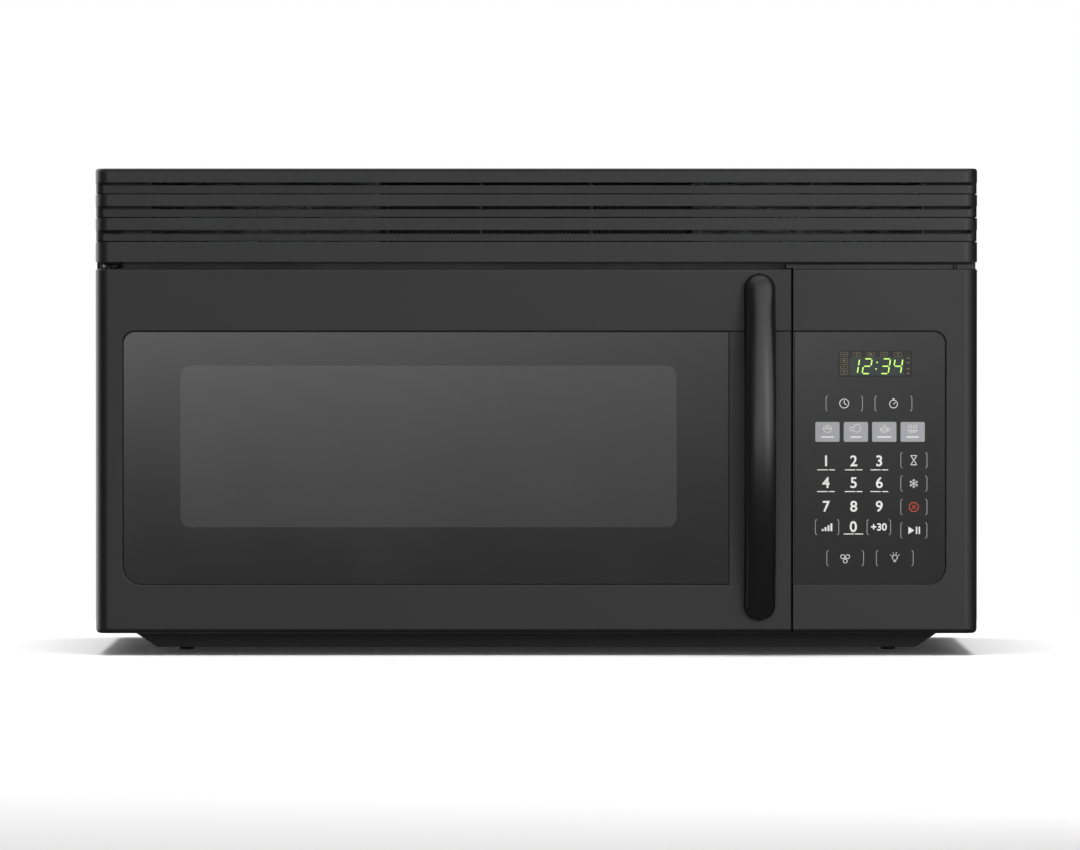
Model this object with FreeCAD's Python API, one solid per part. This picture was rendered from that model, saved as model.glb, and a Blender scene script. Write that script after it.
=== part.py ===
"""An over the range microwave oven, as an assembly of separate pieces.

Millimetres. +Z is up, the front faces -Y and +X is to the right of someone in front of it.
The origin is under the middle of the whole, at the height of the feet's bottoms.
"""
import FreeCAD
import Part
import math
import os
from FreeCAD import Vector

# ---- Overall sizes ------------------------------------------------------------------------
width = 759.0                 # over the door and the control panel
height = 419.0                # from the feet's bottoms to the top of the case
body_depth = 391.0            # from the back plate to the face of the door
handle_proud = 45.0           # how far the handle stands out of the door's face

# ---- Levels and joint lines ---------------------------------------------------------------
foot_height = 5.2
pan_drop = 13.8               # how far the base pan hangs under the sides of the case
grille_height = 80.5
grille_gap = 6.0              # open line between the grille and the door
door_gap = 1.9                # open line between the door and the control panel
door_thickness = 38.0
door_seal_gap = 2.0           # between the back of the door and the front plate
control_width = 158.6

# ---- Sheet metal and general clearances ---------------------------------------------------
case_sheet = 1.0
plate_sheet = 1.5
cavity_sheet = 0.8
fit_gap = 0.3                 # between neighbours that are fitted into one another
run_gap = 0.5                 # between a moving piece and what stands still beside it
pin_play = 0.05               # radial play of a pin in its hole
through = 1.0                 # how far a cut or a joined body runs past the face it meets
sunk = 0.5                    # pieces of one moulding are drawn this far into each other
hair = 1e-6                   # what counts as the same place
corner_round = 11.0           # upright outer corners of the front
low_edge_round = 4.0          # long lower edges of the front
high_edge_round = 1.5         # its long upper edges

# ---- Shallow recess that runs over the door and the control panel --------------------------
pool_left = 24.6              # margins from the outer edges of the front
pool_right = 28.2
pool_top = 54.3
pool_bottom = 41.9
pool_depth = 1.5
pool_rim = 0.9                # rounding of the recess's rim
pool_gap = 0.7                # open line round the glass and the keypad
pool_top_round = 10.0
pool_bottom_round = 16.0

# ---- Door ---------------------------------------------------------------------------------
door_wall = 3.0
door_lip = 2.2                # ledge that carries the glass
door_lip_width = 8.0
hinge_stile = 26.0            # solid left upright that holds the hinge pins
latch_stile = 24.0            # right upright, behind which the latch slides
glass_thickness = 3.2
strip_width = 53.7            # bare strip of the recess, right of the glass
window_left = 48.7            # margins of the window inside the glass
window_right = 44.6
window_top = 28.8
window_bottom = 49.5
choke_front = 12.0            # depths of the steel panel behind the door's face
choke_plane = 29.0
choke_sheet = 1.0
film_thickness = 1.5
film_margin = 14.0            # overlap of the inner window beyond the seen window
cover_depth = 6.0             # depth of the moulded ring round the inner window

# ---- Handle -------------------------------------------------------------------------------
handle_width = 27.0
handle_from_edge = 27.0       # centre line to the door's free edge
handle_margin_top = 3.7
handle_margin_bottom = 11.2
handle_bar = 13.0             # thickness of the bar at mid length
handle_foot = 34.0            # length of each seat on the door
handle_tip = 10.0             # thickness of the bar at its ends
handle_round = 5.0
handle_screw_r = 2.0
handle_screw_length = 16.0
handle_screw_head_r = 4.2
handle_screw_head = 2.4

# ---- Hinges -------------------------------------------------------------------------------
hinge_inset = 14.0            # pin axis from the door's left side and from its back
hinge_pin_r = 3.5
hinge_pin_length = 12.0
hinge_plate = 2.5
hinge_arm = 16.0
hinge_leaf_height = 46.0
lower_leaf_height = 24.0
swing_room = 1.8                # for the arm's corner, past a right angle
door_play = 1.3               # between a hinge plate and the door
lower_play = 1.5
lower_recess = 4.5            # room for the lower hinge in the door's underside

# ---- Latch --------------------------------------------------------------------------------
latch_bar_width = 9.0
latch_bar_depth = 8.0
latch_lift = 4.5
hook_thickness = 3.0
hook_height = 9.0
hook_reach = 15.0             # beyond the back of the door
hook_nose = 3.0
hook_inset = 15.0             # hooks from the door's free edge
hook_spread = 150.0           # between the two hooks
spring_wire = 0.8
spring_coil_r = 3.4
spring_turns = 7
spring_pitch = 3.2

# ---- Vent grille --------------------------------------------------------------------------
grille_depth = 36.0
grille_wall = 2.2
slat_heights = [9.4, 10.0, 10.3, 17.2]      # faces of the slats, from the top one down
slat_top_margin = 2.7
recess_height = 10.3          # from one slat's lower edge to the next one's upper edge
recess_depth = 7.0
slat_line = 0.8               # open line above each lower slat
rib_thickness = 2.0
rib_count = 8
rib_end = 47.0
rib_depth = 24.0
fin_spacing = 6.8             # fine fins of the right part of the grille
fin_thickness = 1.2
fin_zone = 238.0
fin_drop = 3.0
groove_depth = 1.4
groove_height = 0.9
tab_inset = 22.0
grille_end_inset = 0.2        # the channels stop short of the ends
louvre_slots = [2.2, 2.6, 3.1]            # open slots under the upper three slats
louvre_end = 5.0
grille_round = 2.6
filter_length = 270.0
filter_seat = 4.0
filter_rim = 6.0
roof_room = 5.0
filter_thickness = 12.0

# ---- Case ---------------------------------------------------------------------------------
case_flange = 12.0
exhaust_width = 254.0
exhaust_depth = 83.0
exhaust_from_back = 16.0
cord_hole_r = 16.0
gland_wall = 2.4
gland_collar = 3.0
cord_from_right = 60.0
cord_from_back = 62.0
bolt_spacing = 660.0          # hanging bolts through the cabinet above
bolt_from_front = 150.0
bolt_hole_r = 2.6             # tapped 1/4-20
bolt_nut_r = 7.0
bolt_nut_length = 11.0
nut_bridge = [48.0, 28.0]
back_hook_width = 40.0
back_hook_height = 9.0
back_hook_spacing = 520.0
back_hook_level = 46.0
case_screw_r = 2.0
case_screw_length = 9.0
case_screw_head_r = 4.0
case_screw_head = 2.0

# ---- Base pan -----------------------------------------------------------------------------
pan_side_inset = 51.0         # lower edges of the slopes, from the sides
pan_slope = 21.0
pan_front_inset = 14.0
foot_r = 7.2
foot_spacing = 614.0
foot_from_front = 138.0
foot_row = 190.0
filter_opening_width = 205.0
filter_opening_depth = 120.0
filter_from_back = 40.0
filter_between = 70.0
grease_thickness = 8.0
grease_frame = 9.0
grease_web = 1.5              # the mesh lies this far inside the frame's faces
lamp_opening_width = 90.0
lamp_opening_depth = 56.0
lamp_from_front = 56.0
lamp_spacing = 360.0
lens_thickness = 2.5
bulb_r = 12.0
bulb_length = 38.0
socket_r = 13.5
socket_length = 22.0
socket_reach = 4.0
socket_floor = 5.0
bulb_from_end = 8.0
bulb_base_length = 16.0

# ---- Oven cavity --------------------------------------------------------------------------
cavity_floor = 62.0
cavity_top_margin = 32.0      # under the door's top edge
cavity_side = 22.0            # from the case's left side
cavity_to_latch = 33.5        # from the cavity's right side to the line of the hooks
cavity_back_gap = 20.0
cavity_round = 12.0
mouth_flange = 16.0

# ---- Turntable ----------------------------------------------------------------------------
tray_edge_gap = 9.0
tray_thickness = 5.0
tray_rim = 10.0
tray_slope = 12.0
tray_lip = 1.5
wheel_count = 3
wheel_r = 8.8
wheel_width = 7.0
wheel_hub = 2.0
wheel_chamfer = 0.8
axle_head = 1.5
ring_r = 96.0
ring_bar = 4.0
ring_height = 5.0
arm_count = 3
coupler_hub_r = 13.0
coupler_arm_r = 27.0
coupler_arm_width = 8.0
coupler_height = 12.0
shaft_r = 4.0
shaft_bore = 13.2
shaft_sunk = 11.0
motor_disc_r = 25.0
motor_disc_height = 15.0
motor_ear = 8.0
motor_ear_width = 12.0
lug_r = 3.0
lug_height = 4.0
lug_inset = 4.0
lug_turn = 60.0               # degrees from the driver's arms

# ---- Vent blower --------------------------------------------------------------------------
blower_wheel_r = 38.0
blower_wheel_width = 56.0
blower_blades = 24
blower_blade = 1.2
blower_blade_depth = 8.0
blower_pitch = 24.0           # degrees the blades lean
blower_plate = 2.0
blower_hub_wall = 3.0
blower_hub_length = 14.0
scroll_r = 45.0
scroll_wall = 1.2
scroll_width = 66.0
outlet_drop = 4.3             # from the top sheet down to the mouths of the ducts
blower_motor_r = 36.0
blower_motor_length = 78.0
blower_level = 48.0           # axis under the top of the case
blower_from_back = 74.0
blower_shaft_r = 4.0
scroll_inlet_r = 29.0
motor_cap = 6.0
motor_cap_r = 21.6
motor_cradle = 3.0
cradle_inset = 10.0
cradle_width = 50.4

# ---- Power parts in the right compartment ---------------------------------------------------
guide_depth = 24.0            # waveguide box beside the cavity
guide_width = 84.0
guide_height = 96.0
guide_level = 96.0            # its lower edge above the cavity's floor
guide_from_plate = 120.0
guide_window = [62.0, 60.0]
mica_thickness = 0.4
mica_size = [76.0, 78.0]
tube_yoke = [66.0, 78.0, 52.0]
tube_fin = 1.0
tube_fins = 7
tube_core_r = 20.0
tube_antenna_r = 8.0
tube_antenna_length = 16.0
core_size = [62.0, 92.0, 78.0]
winding_grow = 9.0
core_window = 16.0
core_from_plate = 70.0
part_side_gap = 50.0
capacitor_size = [34.0, 52.0, 92.0]
capacitor_from_plate = 250.0
terminal_spread = 17.6        # between the capacitor's two blades
tab_size = [6.3, 0.8, 8.0]
diode_r = 3.2
diode_length = 16.0
fan_r = 46.0
fan_hub_r = 11.0
fan_blades = 5
fan_pitch = 32.0
fan_blade_width = 30.0
fan_blade_thickness = 1.5
fan_shroud = 108.0
fan_shroud_depth = 22.0
fan_tip_gap = 3.0
shroud_round = 8.0
shroud_bar = 10.0             # width of the bar across the fan and of the feet
shroud_foot_inset = 9.0
fan_level = 185.0
fan_from_back = 66.0
fan_motor = [46.0, 34.0, 52.0]
fan_motor_round = 4.0
fan_shaft_r = 2.5
fan_shaft_sunk = 20.4         # length of the shaft inside the motor
filter_board = [60.0, 90.0, 1.6]
choke_coil_r = 11.0
choke_coil_length = 24.0
coil_places = [0.3, 0.7]      # shares of the board's height
cutout_r = 8.0
cutout_height = 5.0
cutout_ear = 24.0
cutout_from_side = 36.0
cutout_pitch = 38.4
cutout_tab = 5.0
cutout_tab_shift = 4.0

# ---- Cavity lamp --------------------------------------------------------------------------
cavity_bulb_r = 11.0
cavity_bulb_length = 30.0
bulb_neck = 14.0
bulb_shoulder = 2.0
lamp_bracket = [50.0, 40.0, 44.0]
lamp_wall = 1.2

# ---- Latch board and switches ---------------------------------------------------------------
board_depth = 34.0
board_wall = 2.5
board_width = 40.0
slot_width = 7.0
slot_height = 22.0
catch_length = 9.0
ledge_thickness = 3.0
switch_size = [7.5, 20.0, 16.0]
switch_count = 3
switch_pitch = 34.0
switch_air = 2.0
switch_tab = 3.0
switch_tab_places = [0.3, 0.7]

# ---- Controls -------------------------------------------------------------------------------
panel_wall = 3.0
panel_depth = 37.0
overlay_thickness = 1.5
display_width = 63.0
display_height = 22.0
display_from_gap = 39.0       # from the joint with the door
display_from_top = 70.5       # under the panel's top edge
display_round = 2.0
display_lens = 1.2
display_block = [64.0, 8.0, 26.0]
nose_gap = 1.0                # round the display in its opening
board_size = [104.0, 1.6, 190.0]
board_from_gap = 27.3         # from the joint with the door
board_stand = 14.0
relay_size = [16.0, 14.0, 20.0]
relay_count = 4
relay_inset = 8.0
relay_gap = 6.0
relay_level = 20.0
buzzer_r = 8.0
buzzer_height = 8.0
buzzer_level = 114.0
post_r = 3.0
overlay_edge = 1.2
lens_play = 0.2
ledge_over = 4.3              # the ledge above the panel reaches over the door's corner
ledge_end = 2.0
ledge_back = 6.0
ledge_play = 0.7
ledge_drop = 2.0               # under the grille
ledge_slots = [(21.0, 2.0), (18.2, 0.9)]     # from the right side, and how wide
ledge_slot_depth = 4.0
board_post = 8.0

# ---- Openings of the front plate and the lamp of the cavity ---------------------------------
plate_foot = 1.5              # the front plate's lower edge above the case's bottom
air_margin = 50.0
air_sill = 9.0
lamp_from_plate = 72.0
lamp_under_top = 42.0
lamp_hole_pitch = 6.0
lamp_hole_r = 1.8
lamp_hole_rows = 5
lamp_hole_columns = 6

# ---- Small fittings -------------------------------------------------------------------------
wrap_round = 1.8
back_rim = 12.0
grille_screw_spacing = 560.0
grille_screw_back = 9.0
back_screw_inset = 16.0
filter_shift = -45.0
filter_lap = 7.0
lens_lap = 5.0
lens_air = 3.0
bulb_base_r = 7.0
vent_slots = 5
vent_pitch = 22.0
vent_slot = 6.0
vent_length = 60.0
vent_back = 100.0

# ==== Places worked out from the sizes =======================================================
left = -width / 2
right = width / 2
front = handle_proud - (body_depth + handle_proud) / 2
back = front + body_depth
top = height
case_bottom = foot_height + pan_drop
grille_bottom = top - grille_height
door_top = grille_bottom - grille_gap
door_back = front + door_thickness
plate_face = door_back + door_seal_gap
plate_back = plate_face + plate_sheet
panel_left = right - control_width
door_right = panel_left - door_gap
hinge_x = left + hinge_inset
hinge_y = door_back - hinge_inset
pool = [left + pool_left, right - pool_right, case_bottom + pool_bottom, door_top - pool_top]
glass_right = door_right - strip_width
cavity_left = left + cavity_side
latch_x = door_right - hook_inset
cavity_right = latch_x - cavity_to_latch
cavity_top = door_top - cavity_top_margin
cavity_rear = back - cavity_back_gap
cavity_front = plate_back
tray_x = (cavity_left + cavity_right) / 2
tray_y = (cavity_front + cavity_rear) / 2
tray_r = min(cavity_right - cavity_left, cavity_rear - cavity_front) / 2 - tray_edge_gap
wheel_level = cavity_floor + wheel_r + fit_gap
tray_level = wheel_level + wheel_r + fit_gap
pan_level = foot_height
bay_left = cavity_right + guide_depth
bay_right = right - case_sheet
latch_mid = (case_bottom + door_top) / 2
blower_y = back - blower_from_back
blower_z = top - blower_level
handle_x = door_right - handle_from_edge
handle_low = case_bottom + handle_margin_bottom
handle_high = door_top - handle_margin_top


# ==== Small tools ============================================================================
def block(x0, x1, y0, y1, z0, z1):
    """A solid between two corners."""
    return Part.makeBox(x1 - x0, y1 - y0, z1 - z0, Vector(x0, y0, z0))


def rod(x, y, z, radius, length, axis):
    """A round bar that starts at a point and runs along an axis."""
    return Part.makeCylinder(radius, length, Vector(x, y, z), Vector(*axis))


def rounded(shape, radius, wanted):
    """Round the edges whose two ends both pass a test."""
    edges = []
    for edge in shape.Edges:
        ends = [vertex.Point for vertex in edge.Vertexes]
        if len(ends) == 2 and wanted(ends[0], ends[1]):
            edges.append(edge)
    return shape.makeFillet(radius, edges)


def round_long_edges(body):
    """Round the long lower and upper edges of the door or the control panel."""
    for level, radius in ((case_bottom, low_edge_round), (door_top, high_edge_round)):
        def front_long(a, b):
            at_level = abs(a.z - level) < hair and abs(b.z - level) < hair
            return at_level and a.y < front + hair and b.y < front + hair
        body = rounded(body, radius, front_long)
    return body


def round_rim(body, x0, x1):
    """Round the rim of the recess where it breaks the face between two uprights."""
    def rim(a, b):
        inside = True
        for point in (a, b):
            inside = inside and abs(point.y - front) < hair
            inside = inside and x0 - hair < point.x < x1 + hair
            inside = inside and pool[2] - hair < point.z < pool[3] + pool_gap + hair
        return inside
    return rounded(body, pool_rim, rim)


def upright(a, b):
    """Whether an edge stands upright."""
    return abs(a.x - b.x) < hair and abs(a.y - b.y) < hair


def along_y(a, b):
    """Whether an edge runs from front to back."""
    return abs(a.x - b.x) < hair and abs(a.z - b.z) < hair


def front_panel(x0, x1, z0, z1, y0, y1, low_round, high_round, sides="both"):
    """A plate across the front whose corners, seen from the front, are rounded."""
    plate = block(x0, x1, y0, y1, z0, z1)
    for level, radius in ((z0, low_round), (z1, high_round)):
        def corner(a, b):
            if not along_y(a, b) or abs(a.z - level) > hair:
                return False
            at_left = abs(a.x - x0) < hair
            return sides == "both" or at_left == (sides == "left")
        plate = rounded(plate, radius, corner)
    return plate


def ring_of(shape, count, x, y, angle=None):
    """Copies of a shape, turned about an upright axis."""
    step = angle or 360 / count
    copies = []
    for index in range(count):
        copy = shape.copy()
        copy.rotate(Vector(x, y, 0), Vector(0, 0, 1), index * step)
        copies.append(copy)
    return copies


def screw(x, y, z, radius, length, head_r, head, axis):
    """A pan-head screw: the seat of its head at a point, its shank along an axis."""
    shank = rod(x, y, z, radius, length, axis)
    back_off = Vector(*axis) * -head
    cap = rod(x + back_off.x, y + back_off.y, z + back_off.z, head_r, head, axis)
    return shank.fuse(cap).removeSplitter()


def countersunk(x, y, z, radius, length, head_r, head, axis):
    """A countersunk screw: its flat head flush at a point, its shank along an axis."""
    cone = Part.makeCone(head_r, radius, head, Vector(x, y, z), Vector(*axis))
    return rod(x, y, z, radius, length, axis).fuse(cone).removeSplitter()


def fused(shapes):
    """One solid out of pieces that meet."""
    body = shapes[0].fuse(shapes[1:])
    return body.removeSplitter()


def group(shapes):
    """Several separate solids under one name."""
    return Part.Compound(shapes)


def save(name, shape):
    """Write one piece to its own file."""
    shape.exportStep(os.path.join("parts", name + ".step"))
    solids = len(shape.Solids)
    print("%-22s %2d solids %10.1f mm3 valid %s" % (name, solids, shape.Volume, shape.isValid()))


# ==== Door ===================================================================================
def glass_bounds(margin):
    """The glass insert's outline, grown by a margin."""
    return [pool[0] - margin, glass_right + margin, pool[2] - margin, pool[3] + margin]


def door_body():
    """The door's outer block, with its rounded edges."""
    body = block(left, door_right, front, door_back, case_bottom, door_top)

    def front_left(a, b):
        return upright(a, b) and a.x < left + through and a.y < front + through

    def back_left(a, b):
        return upright(a, b) and a.x < left + through and a.y > door_back - through

    body = rounded(body, corner_round, front_left)
    body = rounded(body, hinge_inset, back_left)

    return round_long_edges(body)


def hook_levels():
    """Heights of the middles of the two latch hooks."""
    return [latch_mid - hook_spread / 2, latch_mid + hook_spread / 2]


def latch_room():
    """The space in the right upright in which the latch slides."""
    x0 = latch_x - latch_bar_width / 2 - run_gap
    x1 = latch_x + latch_bar_width / 2 + run_gap
    y0 = door_back - cover_depth - latch_bar_depth - 2 * run_gap
    reach = hook_spread / 2 + hook_height + 2 * fit_gap + spring_wire + spring_turns * spring_pitch
    return block(x0, x1, y0, door_back, latch_mid - reach, latch_mid + reach)


def door_frame():
    """The moulded front of the door, open at the back."""
    body = door_body()
    x0 = pool[0] - pool_gap
    z1 = pool[3] + pool_gap
    recess = front_panel(x0, door_right + corner_round, pool[2], z1, front - through,
                         front + pool_depth, pool_bottom_round, pool_top_round, "left")
    body = round_rim(body.cut(recess), x0, door_right)
    pocket = front_panel(x0, glass_right + pool_gap, pool[2], z1, front + pool_rim,
                         front + pool_depth + glass_thickness + fit_gap, pool_bottom_round,
                         pool_top_round, "left")
    body = body.cut(pocket)
    x0, x1, z0, z1 = glass_bounds(-door_lip_width)
    body = body.cut(block(x0, x1, front, door_back, z0, z1))
    hollow_front = front + pool_depth + glass_thickness + fit_gap + door_lip
    hollow = block(left + hinge_stile, door_right - latch_stile, hollow_front, door_back + through,
                   case_bottom + door_wall, door_top - door_wall)
    body = body.cut([hollow, latch_room()])
    half = hinge_arm / 2 + run_gap
    body = body.cut(block(left - through, hinge_x + half, hinge_y - half - swing_room,
                          door_back + through, case_bottom - through,
                          case_bottom + lower_recess))
    for level, length in ((case_bottom + lower_recess, 1), (door_top, -1)):
        depth = (hinge_pin_length + run_gap) * length
        low = min(level, level + depth)
        hole = rod(hinge_x, hinge_y, low - through, hinge_pin_r + pin_play, abs(depth) + through,
                   (0, 0, 1))
        if length < 0:
            hole.translate(Vector(0, 0, through))
        body = body.cut(hole)
    for level in handle_screw_levels():
        start = front - through
        hole = rod(handle_x, start, level, handle_screw_r, door_thickness, (0, 1, 0))
        body = body.cut(hole)
        seat_y = front + pool_depth + handle_seat()
        room = rod(handle_x, seat_y, level, handle_screw_head_r + run_gap, door_thickness,
                   (0, 1, 0))
        body = body.cut(room)
    return body.removeSplitter()


def handle_seat():
    """Depth, behind the recess, of the wall that the handle's screws are tightened on."""
    return glass_thickness + fit_gap + door_lip


def handle_screw_levels():
    """Heights of the two screws that hold the handle."""
    return [handle_low + handle_foot / 2, handle_high - handle_foot / 2]


def door_glass():
    """The glossy insert that fills the recess of the door."""
    x0, x1, z0, z1 = glass_bounds(0)
    y0 = front + pool_depth
    return front_panel(x0, x1, z0 + pool_gap, z1, y0, y0 + glass_thickness, pool_bottom_round,
                       pool_top_round, "left")


def choke_bounds(margin):
    """Outline of the steel panel inside the door, grown by a margin."""
    return [left + hinge_stile + fit_gap - margin, door_right - latch_stile - fit_gap + margin,
            case_bottom + door_wall + fit_gap - margin, door_top - door_wall - fit_gap + margin]


def choke_panel():
    """The folded steel tray that keeps the microwaves in, with the screen of the window."""
    x0, x1, z0, z1 = choke_bounds(0)
    y0 = front + choke_front
    y1 = front + choke_plane
    tray = block(x0, x1, y0, y1 + choke_sheet, z0, z1)
    x0, x1, z0, z1 = choke_bounds(-choke_sheet)
    return tray.cut(block(x0, x1, y0 - through, y1, z0, z1))


def film_bounds(margin):
    """Outline of the inner window, grown by a margin."""
    grow = film_margin + margin
    return [pool[0] + window_left - grow, glass_right - window_right + grow,
            pool[2] + window_bottom - grow, pool[3] - window_top + grow]


def inner_window():
    """The clear sheet on the oven side of the screen."""
    x0, x1, z0, z1 = film_bounds(0)
    y0 = front + choke_plane + choke_sheet
    return block(x0, x1, y0, y0 + film_thickness, z0, z1)


def choke_cover():
    """The moulded ring that closes the back of the door round the inner window."""
    x0, x1, z0, z1 = choke_bounds(0)
    body = block(x0, x1, front + choke_plane + choke_sheet, door_back, z0, z1)
    groove = choke_bounds(-door_wall)
    y1 = door_back - cover_depth / 2
    body = body.cut(block(groove[0], groove[1], front, y1, groove[2], groove[3]))
    x0, x1, z0, z1 = film_bounds(fit_gap + door_wall)
    tube = block(x0, x1, front + choke_plane + choke_sheet, door_back, z0, z1)
    body = body.fuse(tube)
    x0, x1, z0, z1 = film_bounds(fit_gap)
    return body.cut(block(x0, x1, front, door_back + through, z0, z1)).removeSplitter()


# ==== Handle =================================================================================
def handle_bow(low, high, tip, reach):
    """A bowed line seen from the side, from one end over the middle to the other."""
    middle = (low + high) / 2
    return Part.Arc(Vector(0, tip, low), Vector(0, reach, middle), Vector(0, tip, high)).toShape()


def handle():
    """The bowed bar with half-round ends and a rounded outer side, seated on the door."""
    x0 = handle_x - handle_width / 2
    tip = front - handle_tip
    bow = handle_bow(handle_low, handle_high, tip, front - handle_proud)
    corners = [Vector(0, tip, handle_high), Vector(0, front, handle_high),
               Vector(0, front, handle_low), Vector(0, tip, handle_low)]
    face = Part.Face(Part.Wire([bow] + Part.makePolygon(corners).Edges))
    body = face.extrude(Vector(handle_width, 0, 0))
    low = handle_low + handle_foot
    high = handle_high - handle_foot
    bow = handle_bow(low, high, front, front - handle_proud + handle_bar)
    face = Part.Face(Part.Wire([bow, Part.makeLine(Vector(0, front, high), Vector(0, front,
                                                                                  low))]))
    body = body.cut(face.extrude(Vector(handle_width, 0, 0)))
    body.translate(Vector(x0, 0, 0))

    def outer_edge(a, b):
        return a.y < tip + fit_gap and b.y < tip + fit_gap and abs(a.z - b.z) > handle_foot

    body = rounded(body, handle_round, outer_edge)
    end_round = handle_width / 2 - fit_gap
    plate = front_panel(x0, x0 + handle_width, handle_low, handle_high, front - 2 * handle_proud,
                        front + through, end_round, end_round)
    return body.common(plate)


def handle_screws():
    """The two screws that hold the handle from inside the door."""
    seat = front + pool_depth + handle_seat()
    screws = []
    for level in handle_screw_levels():
        screws.append(screw(handle_x, seat, level, handle_screw_r - pin_play,
                            handle_screw_length, handle_screw_head_r, handle_screw_head,
                            (0, -1, 0)))
    return group(screws)


def bored_handle():
    """The handle with the blind holes of its screws."""
    body = handle()
    seat = front + pool_depth + handle_seat()
    for level in handle_screw_levels():
        body = body.cut(rod(handle_x, seat, level, handle_screw_r, handle_screw_length + run_gap,
                            (0, -1, 0)))
    return body


# ==== Latch ==================================================================================
def latch_hooks():
    """The sliding bar with the two hooks that reach into the oven's front plate."""
    x0 = latch_x - latch_bar_width / 2
    x1 = latch_x + latch_bar_width / 2
    y1 = door_back - cover_depth - run_gap
    low, high = hook_levels()
    bar = block(x0, x1, y1 - latch_bar_depth, y1, low - hook_height, high + hook_height)
    pieces = [bar]
    tip = door_back + hook_reach
    for level in (low, high):
        x0 = latch_x - hook_thickness / 2
        x1 = latch_x + hook_thickness / 2
        pieces.append(block(x0, x1, y1 - run_gap, tip, level - hook_height / 2,
                            level + hook_height / 2))
        nose_low = level - hook_height / 2 - hook_nose
        corners = [Vector(x0, tip - hook_nose * 2, level - hook_height / 2 + through),
                   Vector(x0, tip - hook_nose * 2, nose_low), Vector(x0, tip,
                                                                     nose_low + hook_nose),
                   Vector(x0, tip, level - hook_height / 2 + through)]
        face = Part.Face(Part.makePolygon(corners + corners[:1]))
        pieces.append(face.extrude(Vector(hook_thickness, 0, 0)))
    return fused(pieces)


def latch_spring():
    """The coil spring that pushes the latch down, over the bar's upper end."""
    start = hook_levels()[1] + hook_height + fit_gap + spring_wire / 2
    length = spring_turns * spring_pitch
    helix = Part.makeHelix(spring_pitch, length, spring_coil_r)
    wire = Part.Wire(helix)
    circle = Part.makeCircle(spring_wire / 2, Vector(spring_coil_r, 0, 0), Vector(0, 1, 0))
    coil = wire.makePipeShell([Part.Wire(circle)], True, True)
    y1 = door_back - cover_depth - run_gap
    coil.translate(Vector(latch_x, y1 - latch_bar_depth / 2, start))
    return coil


def latch_guide():
    """The strip that keeps the latch in its channel, with slots for the two hooks."""
    room = latch_room().BoundBox
    y0 = door_back - cover_depth
    body = block(room.XMin + fit_gap, room.XMax - fit_gap, y0, door_back, room.ZMin + fit_gap,
                 room.ZMax - fit_gap)
    for level in hook_levels():
        x0 = latch_x - hook_thickness / 2 - run_gap
        low = level - hook_height / 2 - hook_nose - run_gap
        high = level + hook_height / 2 + latch_lift + run_gap
        body = body.cut(block(x0, x0 + hook_thickness + 2 * run_gap, y0 - through,
                              door_back + through, low, high))
    return body


# ==== Hinges =================================================================================
def lower_arm_level():
    """Underside of the lower hinge's arm, inside the recess in the door's underside."""
    return case_bottom + lower_recess - lower_play - hinge_plate


def hinge(upper):
    """A folded steel hinge: an arm past the end of the door, its pin, and a leaf."""
    half = hinge_arm / 2
    x0 = hinge_x - half
    x1 = hinge_x + half
    if upper:
        arm_low = door_top + door_play
        pin_low = door_top - hinge_pin_length
        leaf_y = plate_face - hinge_plate
        leaf_low = arm_low
        leaf_height = hinge_leaf_height
    else:
        arm_low = lower_arm_level()
        pin_low = arm_low
        leaf_y = plate_back
        leaf_low = arm_low
        leaf_height = lower_leaf_height
    arm = block(x0, x1, hinge_y, leaf_y + hinge_plate, arm_low, arm_low + hinge_plate)
    nose = rod(hinge_x, hinge_y, arm_low, half, hinge_plate, (0, 0, 1))
    pin_length = hinge_pin_length + hinge_plate + (door_play if upper else lower_play)
    pin = rod(hinge_x, hinge_y, pin_low, hinge_pin_r, pin_length, (0, 0, 1))
    leaf = block(x0, x1, leaf_y, leaf_y + hinge_plate, leaf_low, leaf_low + leaf_height)
    return fused([arm, nose, pin, leaf])


# ==== Oven front plate and cavity ============================================================
def front_plate():
    """The steel face that the door closes on, full height, with all its openings."""
    side = case_sheet + fit_gap
    plate = block(left + side, right - side, plate_face, plate_back, case_bottom + plate_foot,
                  top - side - grille_wall - fit_gap)
    y0 = plate_face - through
    y1 = plate_back + through
    cuts = [block(cavity_left, cavity_right, y0, y1, cavity_floor, cavity_top),
            block(left + air_margin, right - air_margin, y0, y1, grille_bottom + air_sill,
                  top - air_sill)]
    half = hinge_arm / 2 + fit_gap
    cuts.append(block(hinge_x - half, hinge_x + half, y0, y1, case_bottom,
                      lower_arm_level() + hinge_plate + fit_gap))
    cuts.append(block(latch_x + board_width / 2 + air_sill, right - air_sill, y0, y1,
                      case_bottom + air_sill * 2, door_top - air_sill))
    cuts += latch_slots(y0, y1)
    return plate.cut(cuts)


def latch_slots(y0, y1):
    """The tall slots that the hooks pass through."""
    slots = []
    for level in hook_levels():
        slots.append(block(latch_x - slot_width / 2, latch_x + slot_width / 2, y0, y1,
                           level - slot_height / 2, level + slot_height / 2))
    return slots


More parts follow.
